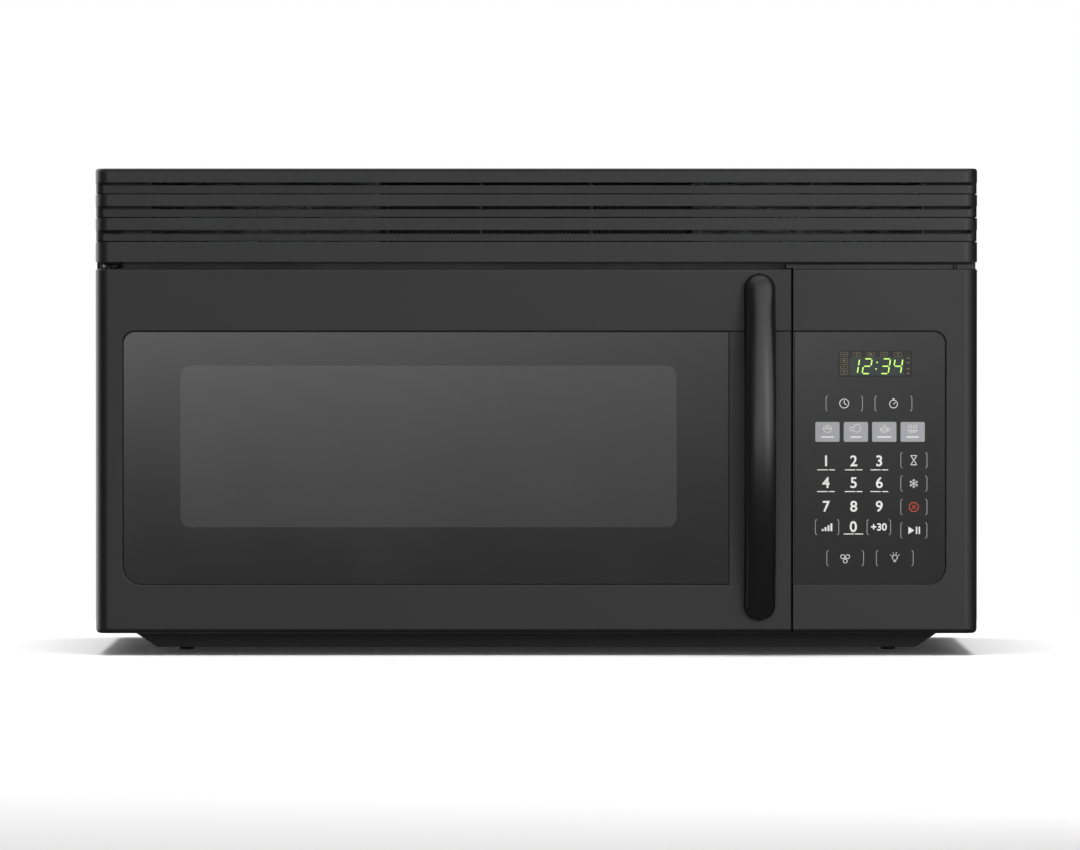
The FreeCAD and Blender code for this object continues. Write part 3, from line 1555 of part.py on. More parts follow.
def surface_lamp_level():
    """Height of the surface lamps' axis."""
    return pan_level + plate_sheet + lens_thickness + bulb_r + lens_air


def surface_bulbs():
    """The two bulbs of the surface light."""
    bulbs = []
    for x0, x1, y0, y1 in pan_openings()[2:]:
        y = (y0 + y1) / 2
        z = surface_lamp_level()
        start = x1 - bulb_from_end
        glass = rod(start - bulb_length + bulb_r, y, z, bulb_r, bulb_length - bulb_r, (1, 0, 0))
        tip = Part.makeSphere(bulb_r, Vector(start - bulb_length + bulb_r, y, z))
        base = rod(start - through, y, z, bulb_base_r, bulb_base_length, (1, 0, 0))
        bulbs.append(fused([glass, tip, base]))
    return group(bulbs)


def feet():
    """The four round rubber feet under the pan."""
    pads = []
    for side in (-1, 1):
        for y in (front + foot_from_front, front + foot_from_front + foot_row):
            pads.append(rod(side * foot_spacing / 2, y, 0, foot_r, foot_height, (0, 0, 1)))
    return group(pads)


# ==== Vent grille ============================================================================
def slat_levels():
    """Upper and lower edges of the slats, from the top one down."""
    levels = []
    z = top - slat_top_margin
    for tall in slat_heights:
        levels.append((z, z - tall))
        z -= tall + recess_height
    return levels


def grille_outline(side_inset, front_inset, z0, z1):
    """A block with the plan of the grille, drawn in at its sides and front."""
    body = block(left + side_inset, right - side_inset, front + front_inset, front + grille_depth,
                 z0, z1)

    def front_corner(a, b):
        return upright(a, b) and a.y < front + front_inset + hair

    radius = max(corner_round - (side_inset + front_inset) / 2, 1.0)
    return rounded(body, radius, front_corner)


def vent_grille():
    """The moulded louvre: four proud slats, set-back walls between them, ribs behind."""
    wall = grille_wall
    levels = slat_levels()
    low = levels[-1][1]
    body = grille_outline(0.0, 0.0, low, top)

    def top_edge(a, b):
        rear = front + grille_depth - hair
        return a.z > top - hair and b.z > top - hair and not (a.y > rear and b.y > rear)

    body = rounded(body, grille_round, top_edge)
    body = body.cut(grille_outline(wall, wall, low + wall, top - wall))
    side = grille_end_inset
    for (_, z_low), (z_next, _), slot in zip(levels[:-1], levels[1:], louvre_slots):
        body = body.cut(grille_outline(-through, -through, z_next, z_low))
        ledge = grille_outline(0.0, 0.0, z_low, z_low + wall)
        ledge = ledge.cut(grille_outline(side + wall, recess_depth + wall, z_low - through,
                                         z_low + wall + through))
        inset = grille_outline(side, recess_depth, z_next + slat_line, z_low + wall)
        inset = inset.cut(grille_outline(side + wall, recess_depth + wall, z_next,
                                         z_low + wall + through))
        inset = inset.cut(block(left + louvre_end, right - louvre_end, front, front + grille_depth,
                                z_low - slot, z_low))
        body = body.fuse([ledge, inset])
    groove_z = top - slat_top_margin
    body = body.cut(block(left - through, right + through, front - through, front + groove_depth,
                          groove_z, groove_z + groove_height))
    ribs = []
    pitch = (width - 2 * rib_end) / (rib_count - 1)
    for index in range(rib_count):
        x = left + rib_end + index * pitch
        rib = block(x - rib_thickness / 2, x + rib_thickness / 2, front + wall / 2,
                    front + rib_depth, low + wall / 2, top - wall / 2)
        for (_, z_low), (z_next, _) in zip(levels[:-1], levels[1:]):
            rib = rib.cut(block(x - rib_thickness, x + rib_thickness, front - through,
                                front + recess_depth + wall / 2,
                                z_next, z_low))
        ribs.append(rib)
    for z_next in (levels[2][0], levels[3][0]):
        x = right - fin_zone
        while x < right - corner_round - side:
            ribs.append(block(x, x + fin_thickness, front + recess_depth + wall / 4,
                              front + recess_depth + wall * 3 / 4, z_next - fin_drop,
                              z_next + slat_line + wall))
            x += fin_spacing
    body = body.fuse(ribs)
    z1 = top - case_sheet - fit_gap
    roof = block(left + tab_inset, right - tab_inset, front + grille_depth - wall,
                 plate_face + 2 * grille_screw_back, z1 - wall, z1)
    body = body.fuse(roof)
    screws = []
    for place, axis in case_screw_places():
        if axis == (0, 0, -1):
            screws.append(screw_seat(place, axis))
    return body.cut(screws).removeSplitter()


def charcoal_filter():
    """The carbon filter pad in its frame, behind the grille's air opening."""
    half = filter_length / 2
    z0 = grille_bottom + air_sill - filter_seat
    z1 = top - air_sill + filter_seat - fit_gap
    frame = block(-half, half, plate_back, plate_back + filter_thickness, z0, z1 - roof_room)
    pad = block(-half + filter_rim, half - filter_rim, plate_back + through,
                plate_back + filter_thickness - through, z0 + filter_rim,
                z1 - roof_room - filter_rim)
    hole = block(-half + filter_rim, half - filter_rim, plate_back - through,
                 plate_back + filter_thickness + through, z0 + filter_rim,
                 z1 - roof_room - filter_rim)
    return fused([frame.cut(hole), pad])


# ==== Controls ===============================================================================
def display_place():
    """The display's opening: left, right, lower and upper edges."""
    x0 = panel_left + display_from_gap
    z1 = door_top - display_from_top
    return x0, x0 + display_width, z1 - display_height, z1


def panel_body():
    """The control panel's outer block, with its rounded edges."""
    body = block(panel_left, right, front, front + panel_depth, case_bottom, door_top)

    def front_right(a, b):
        return upright(a, b) and a.x > right - through and a.y < front + through

    body = rounded(body, corner_round, front_right)

    return round_long_edges(body)


def panel_frame():
    """The moulded frame of the control panel, with its ledge under the grille."""
    body = panel_body()
    x1 = pool[1] + pool_gap
    z1 = pool[3] + pool_gap
    recess = front_panel(panel_left - corner_round, x1, pool[2], z1, front - through,
                         front + pool_depth, pool_bottom_round, pool_top_round, "right")
    body = round_rim(body.cut(recess), panel_left, x1)
    pocket = front_panel(panel_left + overlay_edge, x1, pool[2] - fit_gap, z1,
                         front + pool_depth, front + pool_depth + overlay_thickness,
                         pool_bottom_round, pool_top_round, "right")
    depth = pool_depth + overlay_thickness + panel_wall
    hollow = block(panel_left + panel_wall, right - panel_wall, front + depth,
                   front + panel_depth + through, case_bottom + panel_wall, door_top - panel_wall)
    body = body.cut([pocket, hollow])
    x0, x1, z0, z1 = display_place()
    body = body.cut(block(x0, x1, front, front + depth + through, z0, z1))
    ledge = block(door_right - ledge_over, right - ledge_end, front + ledge_back,
                  front + panel_depth, door_top + ledge_play, grille_bottom - ledge_drop)
    neck = block(panel_left, right - ledge_end, front + ledge_back, front + panel_depth,
                 door_top - through, door_top + ledge_play + through)
    body = fused([body, ledge, neck])
    y0 = front + ledge_back
    for inset, across in ledge_slots:
        x = right - inset
        body = body.cut(block(x - across / 2, x + across / 2, y0 - through,
                              y0 + ledge_slot_depth, door_top, grille_bottom))
    return body


def key_overlay():
    """The flat keypad sheet in the recess, open over the display."""
    y0 = front + pool_depth
    body = front_panel(panel_left + overlay_edge + fit_gap, pool[1], pool[2], pool[3], y0,
                       y0 + overlay_thickness, pool_bottom_round, pool_top_round, "right")
    x0, x1, z0, z1 = display_place()
    opening = front_panel(x0, x1, z0, z1, y0 - through, y0 + overlay_thickness + through,
                          display_round, display_round)
    return body.cut(opening)


def display_window():
    """The dark clear window over the display."""
    x0, x1, z0, z1 = display_place()
    y0 = front + pool_depth
    return front_panel(x0 + lens_play, x1 - lens_play, z0 + lens_play, z1 - lens_play, y0,
                       y0 + display_lens, display_round, display_round)


def display_module():
    """The display's block, behind its window."""
    across, deep, tall = display_block
    x0, x1, z0, z1 = display_place()
    mid_x = (x0 + x1) / 2
    mid_z = (z0 + z1) / 2
    y0 = front + pool_depth + overlay_thickness + panel_wall
    body = block(mid_x - across / 2, mid_x + across / 2, y0, y0 + deep, mid_z - tall / 2,
                 mid_z + tall / 2)
    nose = block(x0 + nose_gap, x1 - nose_gap, front + pool_depth + display_lens, y0 + through,
                 z0 + nose_gap, z1 - nose_gap)
    return body.fuse(nose).removeSplitter()


def control_board():
    """The circuit board behind the keypad, with its relays, buzzer and posts."""
    across, thick, tall = board_size
    y0 = front + pool_depth + overlay_thickness + panel_wall + board_stand
    mid = panel_left + board_from_gap + across / 2
    z0 = (case_bottom + door_top) / 2 - tall / 2
    pieces = [block(mid - across / 2, mid + across / 2, y0, y0 + thick, z0, z0 + tall)]
    for side in (-1, 1):
        for level in (z0 + 2 * post_r, z0 + tall - 2 * post_r):
            pieces.append(rod(mid + side * (across / 2 - 2 * post_r), y0 - board_stand, level,
                              post_r, board_stand + through, (0, 1, 0)))
    for index in range(relay_count):
        x = mid - across / 2 + relay_inset + index * (relay_size[0] + relay_gap)
        pieces.append(block(x, x + relay_size[0], y0 + thick - sunk, y0 + thick + relay_size[1],
                            z0 + relay_level, z0 + relay_level + relay_size[2]))
    pieces.append(rod(mid, y0 + thick - sunk, z0 + buzzer_level, buzzer_r, buzzer_height,
                      (0, 1, 0)))
    return fused(pieces)


# ==== Writing the pieces =====================================================================
def main():
    """Build every piece and write it."""
    os.makedirs("parts", exist_ok=True)
    save("door_frame", door_frame())
    save("door_glass", door_glass())
    save("choke_panel", choke_panel())
    save("inner_window", inner_window())
    save("choke_cover", choke_cover())
    save("handle", bored_handle())
    save("handle_screws", handle_screws())
    save("latch_hooks", latch_hooks())
    save("latch_spring", latch_spring())
    save("latch_guide", latch_guide())
    save("upper_hinge", hinge(True))
    save("lower_hinge", hinge(False))
    save("front_plate", front_plate())
    save("oven_cavity", oven_cavity())
    save("waveguide", waveguide())
    save("waveguide_cover", waveguide_cover())
    save("magnetron", magnetron())
    save("transformer_core", transformer_core())
    save("transformer_windings", transformer_windings())
    save("hv_capacitor", hv_capacitor())
    save("hv_diode", hv_diode())
    save("fan_shroud", fan_shroud_plate())
    save("fan_motor", fan_motor_body())
    save("cooling_fan", cooling_fan())
    save("line_filter", line_filter())
    save("thermal_cutouts", thermal_cutouts())
    save("lamp_holder", lamp_holder())
    save("cavity_lamp", cavity_lamp())
    save("latch_board", latch_board())
    save("interlock_switches", interlock_switches())
    save("turntable_motor", turntable_motor())
    save("turntable_coupler", turntable_coupler())
    save("roller_ring", roller_ring())
    for index, wheel in enumerate(wheels()):
        save("roller_%d" % (index + 1), wheel)
    save("glass_tray", glass_tray())
    save("left_scroll", scroll(-1))
    save("right_scroll", scroll(1))
    save("blower_wheels", group([blower_wheel(-1), blower_wheel(1)]))
    save("blower_shaft", blower_shaft())
    save("blower_motor", blower_motor())
    save("outer_wrap", outer_wrap())
    save("hanging_nuts", hanging_nuts())
    save("case_screws", case_screws())
    save("rear_plate", rear_plate())
    save("cord_gland", cord_gland())
    save("base_pan", base_pan())
    save("grease_filters", group([grease_filter(0), grease_filter(1)]))
    save("surface_lamp_lenses", surface_lamp_lenses())
    save("surface_sockets", surface_sockets())
    save("surface_bulbs", surface_bulbs())
    save("feet", feet())
    save("vent_grille", vent_grille())
    save("charcoal_filter", charcoal_filter())
    save("panel_frame", panel_frame())
    save("key_overlay", key_overlay())
    save("display_window", display_window())
    save("display_module", display_module())
    save("control_board", control_board())


main()
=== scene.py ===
"""The finish of an over the range microwave oven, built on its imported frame."""

import math

import bmesh
import bpy
from mathutils import Matrix, Vector


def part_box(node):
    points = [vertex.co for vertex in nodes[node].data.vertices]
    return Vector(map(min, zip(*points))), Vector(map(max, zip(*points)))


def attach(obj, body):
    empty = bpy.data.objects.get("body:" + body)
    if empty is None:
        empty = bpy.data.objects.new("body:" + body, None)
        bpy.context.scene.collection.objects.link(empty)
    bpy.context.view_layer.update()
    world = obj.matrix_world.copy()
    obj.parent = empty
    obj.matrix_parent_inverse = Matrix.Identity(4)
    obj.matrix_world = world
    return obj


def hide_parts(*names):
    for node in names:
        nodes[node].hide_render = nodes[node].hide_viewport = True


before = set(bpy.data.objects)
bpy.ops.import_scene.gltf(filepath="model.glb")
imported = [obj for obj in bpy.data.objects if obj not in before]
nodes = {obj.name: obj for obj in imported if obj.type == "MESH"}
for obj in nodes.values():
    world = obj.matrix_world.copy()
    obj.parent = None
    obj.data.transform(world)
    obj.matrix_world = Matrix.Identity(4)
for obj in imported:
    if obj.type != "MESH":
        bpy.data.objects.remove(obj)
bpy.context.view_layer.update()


# ---- Door frame, control panel frame and latch strip ----------------------------------------
# The front of the oven is injection-moulded black ABS. The tool's fine spark-eroded grain
# breaks up reflections, and handling polishes the long edges a little.

def linear(code):
    """A colour written as sRGB hex, turned to linear red, green, blue and alpha."""
    values = [int(code[i:i + 2], 16) / 255 for i in (1, 3, 5)]
    return [v / 12.92 if v <= 0.04045 else ((v + 0.055) / 1.055) ** 2.4 for v in values] + [1]


def add(tree, kind, inputs=None, **settings):
    """Add one node, with its settings, its values and its links."""
    made = tree.nodes.new("ShaderNode" + kind)
    for name, value in settings.items():
        setattr(made, name, value)
    for socket, value in (inputs or {}).items():
        if isinstance(value, bpy.types.NodeSocket):
            tree.links.new(value, made.inputs[socket])
        else:
            made.inputs[socket].default_value = value
    return made


def start_material(name):
    """An empty material, with the object's own coordinates in metres."""
    made = bpy.data.materials.new(name)
    made.use_nodes = True
    made.node_tree.nodes.clear()
    place = add(made.node_tree, "TexCoord").outputs["Object"]
    return made, made.node_tree, place


def surface(made, colour, dull, looks, height=None, strength=0.0, depth_mm=0.0, rounded=None):
    """Finish a material from its colour, its dullness, its looks and its fine relief."""
    tree = made.node_tree
    values = {"Base Color": colour.outputs[0], "Roughness": dull.outputs[0], **looks}
    if height is not None:
        relief = {"Strength": strength, "Distance": depth_mm / 1000, "Height": height}
        if rounded is not None:
            relief["Normal"] = rounded
        values["Normal"] = add(tree, "Bump", relief).outputs[0]
    shader = add(tree, "BsdfPrincipled", values)
    add(tree, "OutputMaterial", {"Surface": shader.outputs[0]})
    return made


def worn_edge(tree, radius_mm):
    """A mask that is 1 along edges sharper than a radius, and 0 on flat stretches."""
    bevel = add(tree, "Bevel", {"Radius": radius_mm / 1000}, samples=4)
    flat = add(tree, "NewGeometry").outputs["Normal"]
    turn = add(tree, "VectorMath", {0: bevel.outputs[0], 1: flat}, operation="DOT_PRODUCT")
    mask = add(tree, "MapRange", {0: turn.outputs["Value"], 1: 0.995, 2: 0.85, 3: 0.0, 4: 1.0})
    return bevel.outputs[0], mask.outputs[0]


def moulded_abs(name, colour, edge_colour, grain_mm, roughness):
    """Moulded ABS: IOR 1.54, a soft sheen broken by grain, and paler rubbed edges."""
    made, tree, place = start_material(name)
    rounded, edge = worn_edge(tree, 0.7)
    cloud = add(tree, "TexNoise", {"Vector": place, "Scale": 1000 / 60, "Detail": 3.0})
    grain = add(tree, "TexNoise", {"Vector": place, "Scale": 1000 / grain_mm, "Detail": 2.0})
    tint = add(tree, "MixRGB", {0: cloud.outputs[0], 1: linear(colour),
                                2: [c * 1.25 for c in linear(colour)[:3]] + [1]})
    rubbed = add(tree, "MixRGB", {0: edge, 1: tint.outputs[0], 2: linear(edge_colour)})
    dull = add(tree, "MapRange", {0: cloud.outputs[0], 3: roughness - 0.04, 4: roughness + 0.05})
    return surface(made, rubbed, dull, {"IOR": 1.54}, grain.outputs[0], 0.12, 0.04, rounded)


def coat(material, *names):
    """Give a material to whole CAD pieces."""
    for name in names:
        mesh = nodes[name].data
        mesh.materials.clear()
        mesh.materials.append(material)


front_abs = moulded_abs("spark_grained_abs", "#0e0e0f", "#161617", 0.5, 0.4)
coat(front_abs, "door_frame", "panel_frame", "latch_guide", "choke_cover")


# ---- Vent grille ----------------------------------------------------------------------------
# One long ABS moulding with four proud slats. It has the same black as the door, but its
# tool was polished less, so that the slats look a little drier.

grille_abs = moulded_abs("dry_grained_abs", "#111112", "#242425", 0.6, 0.4)
coat(grille_abs, "vent_grille")


# ---- Handle ---------------------------------------------------------------------------------
# A bowed bar of satin ABS with half-round ends, screwed on from inside the door. Its bow is
# an arc between the two seats, and its section is a full D that thins out at the ends.

def new_piece(name, shape):
    """A new object of the scene, from its built shape."""
    mesh = bpy.data.meshes.new(name)
    shape.to_mesh(mesh)
    shape.free()
    piece = bpy.data.objects.new(name, mesh)
    bpy.context.scene.collection.objects.link(piece)
    return piece


def ring_piece(name, rings):
    """A smooth closed piece skinned over rings of equally many points."""
    shape = bmesh.new()
    rows = [[shape.verts.new(point) for point in ring] for ring in rings]
    count = len(rows[0])
    for low, high in zip(rows[:-1], rows[1:]):
        for i in range(count):
            j = (i + 1) % count
            shape.faces.new((low[i], low[j], high[j], high[i]))
    shape.faces.new(list(reversed(rows[0])))
    shape.faces.new(rows[-1])
    bmesh.ops.recalc_face_normals(shape, faces=shape.faces)
    for face in shape.faces:
        face.smooth = True
    return new_piece(name, shape)


def bow(z, low, high, start, reach):
    """How far an arc over a chord stands out at a height, from its ends to its middle."""
    rise = reach - start
    half = (high - low) / 2
    radius = (half * half + rise * rise) / (2 * rise)
    shift = z - (low + high) / 2
    return start + math.sqrt(max(radius * radius - shift * shift, 0)) - (radius - rise)


handle_low, handle_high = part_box("handle")
handle_bar = 0.013
handle_foot = 0.034
handle_tip = 0.010
handle_stations = 120
handle_points = 48
handle_squareness = 2.6
handle_tip_share = 0.55
handle_end_crowding = 0.35


def handle_ring(z):
    """One level section of the handle, a squarish ring drawn in at the half-round ends."""
    half = (handle_high.x - handle_low.x) / 2
    middle = (handle_high.x + handle_low.x) / 2
    seat = handle_high.y
    proud = seat - handle_low.y
    near_end = min(z - handle_low.z, handle_high.z - z)
    swell = math.sqrt(max(1 - (1 - min(near_end / half, 1)) ** 2, 0.0004))
    outer = bow(z, handle_low.z, handle_high.z, handle_tip, proud)
    outer = outer * (handle_tip_share + (1 - handle_tip_share) * swell)
    inner = 0.0
    foot = handle_foot
    if handle_low.z + foot < z < handle_high.z - foot:
        inner = bow(z, handle_low.z + foot, handle_high.z - foot, 0.0, proud - handle_bar)
    points = []
    for i in range(handle_points):
        angle = 2 * math.pi * i / handle_points
        power = 2 / handle_squareness
        across = math.copysign(abs(math.cos(angle)) ** power, math.cos(angle))
        deep = math.copysign(abs(math.sin(angle)) ** power, math.sin(angle))
        y = (outer + inner) / 2 + (outer - inner) / 2 * deep
        points.append(Vector((middle + half * swell * across, seat - y, z)))
    return points


handle_rings = []
for station in range(handle_stations + 1):
    turn = math.pi * station / handle_stations
    eased = (1 - math.cos(turn)) / 2
    even = station / handle_stations
    share = eased * handle_end_crowding + even * (1 - handle_end_crowding)
    handle_rings.append(handle_ring(handle_low.z + (handle_high.z - handle_low.z) * share))
handle = ring_piece("bowed_handle", handle_rings)
handle_abs = moulded_abs("satin_abs", "#0c0c0d", "#1a1a1b", 0.35, 0.3)
handle.data.materials.append(handle_abs)
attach(handle, "door")
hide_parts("handle")


# ---- Door glass -----------------------------------------------------------------------------
# A toughened pane, fixed flush in the door's recess. Its back is screen-printed black, apart
# from the window, where the printed dots are sparse and the oven's grey shows through.

glass_low, glass_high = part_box("door_glass")
window_margins = {"left": 0.0487, "right": 0.0446, "top": 0.0288, "bottom": 0.0488}
window_round = 0.0086
pane_round_low = 0.016
pane_round_high = 0.010
pane_edge = 0.0004


def round_corners(x0, x1, z0, z1, radii, steps=10):
    """An outline in the front's plane. Radii: low left, low right, high right, high left."""
    corners = [(x0, z0, 180), (x1, z0, 270), (x1, z1, 0), (x0, z1, 90)]
    outline = []
    for (x, z, start), radius in zip(corners, radii):
        if radius <= 0:
            outline.append((x, z))
            continue
        cx = x + (radius if x == x0 else -radius)
        cz = z + (radius if z == z0 else -radius)
        for i in range(steps + 1):
            angle = math.radians(start + 90 * i / steps)
            outline.append((cx + radius * math.cos(angle), cz + radius * math.sin(angle)))
    return outline


def plate_piece(name, outline, y0, y1, bevel):
    """A flat plate across the front from an outline, with a fine bevel on its face."""
    shape = bmesh.new()
    face = shape.faces.new([shape.verts.new((x, y0, z)) for x, z in outline])
    depth = Vector((0, y1 - y0, 0))
    made = bmesh.ops.extrude_face_region(shape, geom=[face])
    moved = [v for v in made["geom"] if isinstance(v, bmesh.types.BMVert)]
    bmesh.ops.translate(shape, verts=moved, vec=depth)
    bmesh.ops.recalc_face_normals(shape, faces=shape.faces)
    rim = [e for e in shape.edges if all(abs(v.co.y - y0) < 1e-7 for v in e.verts)]
    bmesh.ops.bevel(shape, geom=rim, offset=bevel, segments=2, affect="EDGES")
    return new_piece(name, shape)


def rectangle_mask(tree, place, x0, x1, z0, z1, radius, soft):
    """A mask that is 1 inside a rounded rectangle of the front's plane."""
    axes = add(tree, "SeparateXYZ", {0: place})
    distances = []
    for axis, low, high in (("X", x0, x1), ("Z", z0, z1)):
        shifted = add(tree, "Math", {0: axes.outputs[axis], 1: (low + high) / 2},
                      operation="SUBTRACT")
        size = add(tree, "Math", {0: shifted.outputs[0]}, operation="ABSOLUTE")
        over = add(tree, "Math", {0: size.outputs[0], 1: (high - low) / 2 - radius},
                   operation="SUBTRACT")
        distances.append(add(tree, "Math", {0: over.outputs[0], 1: 0.0}, operation="MAXIMUM"))
    spot = add(tree, "CombineXYZ", {0: distances[0].outputs[0], 1: distances[1].outputs[0]})
    reach = add(tree, "VectorMath", {0: spot.outputs[0]}, operation="LENGTH")
    mask = add(tree, "MapRange", {0: reach.outputs["Value"], 1: radius + soft,
                                  2: radius - soft, 3: 0.0, 4: 1.0})
    return mask.outputs[0]


def toughened_glass(name, print_colour, window_colour, window):
    """Back-printed soda-lime glass: a mirror-smooth face, IOR 1.52, over flat ink."""
    made, tree, place = start_material(name)
    mask = rectangle_mask(tree, place, *window, window_round, 0.0003)
    dots = add(tree, "TexVoronoi", {"Vector": place, "Scale": 1000 / 2.4, "Randomness": 0.0})
    dot = add(tree, "MapRange", {0: dots.outputs["Distance"], 1: 0.25, 2: 0.4, 3: 0.9, 4: 1.05})
    seen = add(tree, "MixRGB", {0: 1.0, 1: linear(window_colour), 2: dot.outputs[0]},
               blend_type="MULTIPLY")
    ink = add(tree, "MixRGB", {0: mask, 1: linear(print_colour), 2: seen.outputs[0]})
    smear = add(tree, "TexNoise", {"Vector": place, "Scale": 1000 / 90, "Detail": 4.0})
    polish = add(tree, "MapRange", {0: smear.outputs[0], 3: 0.03, 4: 0.09})
    wave = add(tree, "TexNoise", {"Vector": place, "Scale": 1000 / 180})
    return surface(made, ink, polish, {"IOR": 1.52}, wave.outputs[0], 0.02, 0.2)


window = (glass_low.x + window_margins["left"], glass_high.x - window_margins["right"],
          glass_low.z + window_margins["bottom"], glass_high.z - window_margins["top"])
pane_outline = round_corners(glass_low.x, glass_high.x, glass_low.z, glass_high.z,
                             (pane_round_low, 0, 0, pane_round_high))
door_pane = plate_piece("door_pane", pane_outline, glass_low.y, glass_high.y, pane_edge)
door_pane.data.materials.append(toughened_glass("back_printed_glass", "#0b0b0c", "#2b2b2b",
                                                window))
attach(door_pane, "door")
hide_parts("door_glass")


# ---- Keypad sheet ---------------------------------------------------------------------------
# A polyester sheet, reverse-printed gloss black, bonded into the panel's recess over the
# switch membrane. It lies perfectly flat and has a hardened, slightly hazed face.

sheet_low, sheet_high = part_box("key_overlay")


def hardcoated_polyester(name, colour):
    """Reverse-printed polyester film: IOR 1.57, glossy but a little hazed by its hard coat."""
    made, tree, place = start_material(name)
    haze = add(tree, "TexNoise", {"Vector": place, "Scale": 1000 / 25, "Detail": 4.0})
    touch = add(tree, "MapRange", {0: haze.outputs[0], 3: 0.04, 4: 0.08})
    tint = add(tree, "MixRGB", {0: haze.outputs[0], 1: linear(colour),
                                2: [c * 1.15 for c in linear(colour)[:3]] + [1]})
    peel = add(tree, "TexNoise", {"Vector": place, "Scale": 1000 / 1.5})
    return surface(made, tint, touch, {"IOR": 1.57}, peel.outputs[0], 0.03, 0.03)


coat(hardcoated_polyester("hardcoated_polyester", "#0c0c0d"), "key_overlay")


# ---- Printing on the keypad -----------------------------------------------------------------
# White and red epoxy ink on the polyester sheet: plain numbers, brackets round the other
# keys, and small signs. The four quick keys are grey patches with white signs.

ink_height = 0.00006
key_left = sheet_low.x - 0.0015
key_top = sheet_high.z


def key_point(x_mm, down_mm):
    """A point on the sheet's face, from the recess's upper left corner, in millimetres."""
    return Vector((key_left + x_mm / 1000, sheet_low.y, key_top - down_mm / 1000))


def print_piece(name, shape, material, body="cabinet"):
    """Turn printed shapes into one thin piece on the sheet."""
    bmesh.ops.recalc_face_normals(shape, faces=shape.faces)
    piece = new_piece(name, shape)
    piece.data.materials.append(material)
    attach(piece, body)
    return piece


def print_polygon(shape, points, height=ink_height):
    """One flat printed shape with the ink's thickness."""
    back = [shape.verts.new(p) for p in points]
    face = [shape.verts.new(p - Vector((0, height, 0))) for p in points]
    count = len(points)
    shape.faces.new(face)
    shape.faces.new(list(reversed(back)))
    for i in range(count):
        j = (i + 1) % count
        shape.faces.new((back[i], back[j], face[j], face[i]))


def print_bar(shape, x0, x1, down0, down1):
    """A printed rectangle."""
    print_polygon(shape, [key_point(x0, down1), key_point(x1, down1), key_point(x1, down0),
                          key_point(x0, down0)])


def print_line(shape, points, width_mm=0.34, closed=False):
    """A printed line through points given in millimetres."""
    pairs = list(zip(points[:-1], points[1:]))
    if closed:
        pairs.append((points[-1], points[0]))
    for (xa, da), (xb, db) in pairs:
        length = math.hypot(xb - xa, db - da)
        nx = -(db - da) / length * width_mm / 2
        nd = (xb - xa) / length * width_mm / 2
        print_polygon(shape, [key_point(xa - nx, da - nd), key_point(xb - nx, db - nd),
                              key_point(xb + nx, db + nd), key_point(xa + nx, da + nd)])


def print_ring(shape, x, down, radius, width_mm=0.34, start=0, sweep=360, flatten=1.0):
    """A printed circle or arc."""
    steps = max(int(sweep / 20), 4)
    points = []
    for i in range(steps + 1):
        angle = math.radians(start + sweep * i / steps)
        points.append((x + radius * math.cos(angle), down + radius * flatten * math.sin(angle)))
    if sweep >= 360:
        points = points[:-1]
    print_line(shape, points, width_mm, closed=sweep >= 360)


def around(x, down, radius, degrees):
    """The point at a distance from a place on the sheet, clockwise from its right."""
    angle = math.radians(degrees)
    return x + radius * math.cos(angle), down + radius * math.sin(angle)


def epoxy_ink(name, colour, glow=0.0):
    """Screen-printed epoxy ink: matt, IOR 1.5, with the slight unevenness of the mesh."""
    made, tree, place = start_material(name)
    mesh = add(tree, "TexNoise", {"Vector": place, "Scale": 1000 / 0.4, "Detail": 2.0})
    tint = add(tree, "MixRGB", {0: mesh.outputs[0], 1: linear(colour),
                                2: [c * 0.86 for c in linear(colour)[:3]] + [1]})
    matt = add(tree, "MapRange", {0: mesh.outputs[0], 3: 0.45, 4: 0.6})
    looks = {"IOR": 1.5}
    if glow:
        looks.update({"Emission Color": tint.outputs[0], "Emission Strength": glow})
    return surface(made, tint, matt, looks)


white_ink = epoxy_ink("white_epoxy_ink", "#e8e8e6")
red_ink = epoxy_ink("red_epoxy_ink", "#c8452f")
grey_ink = epoxy_ink("grey_epoxy_ink", "#a0a0a5")

digit_columns = (28.4, 52.2, 74.2)
digit_rows = (111.2, 129.9, 150.3)
zero_place = (51.9, 167.8)
digit_height = 9.4
digit_weight = 0.00022


def digit_outline(text, x_mm, down_mm, height_mm):
    """The mesh of a bold plain numeral, centred on a point of the sheet."""
    curve = bpy.data.curves.new("numeral", "FONT")
    curve.body = text
    curve.align_x = "CENTER"
    curve.align_y = "CENTER"
    curve.size = height_mm / 1000 * 1.38
    curve.offset = digit_weight
    curve.extrude = ink_height / 2
    curve.resolution_u = 4
    holder = bpy.data.objects.new("numeral", curve)
    mesh = bpy.data.meshes.new_from_object(holder)
    place = Matrix.Translation(key_point(x_mm, down_mm)) @ Matrix.Rotation(math.pi / 2, 4, "X")
    mesh.transform(Matrix.Translation((0, -ink_height / 2, 0)) @ place)
    bpy.data.objects.remove(holder)
    bpy.data.curves.remove(curve)
    return mesh


numbers = bmesh.new()
for value in range(10):
    if value:
        spot = (digit_columns[(value - 1) % 3], digit_rows[(value - 1) // 3])
    else:
        spot = zero_place
    numeral = digit_outline(str(value), *spot, digit_height)
    numbers.from_mesh(numeral)
    bpy.data.meshes.remove(numeral)
print_piece("keypad_numbers", numbers, white_ink)

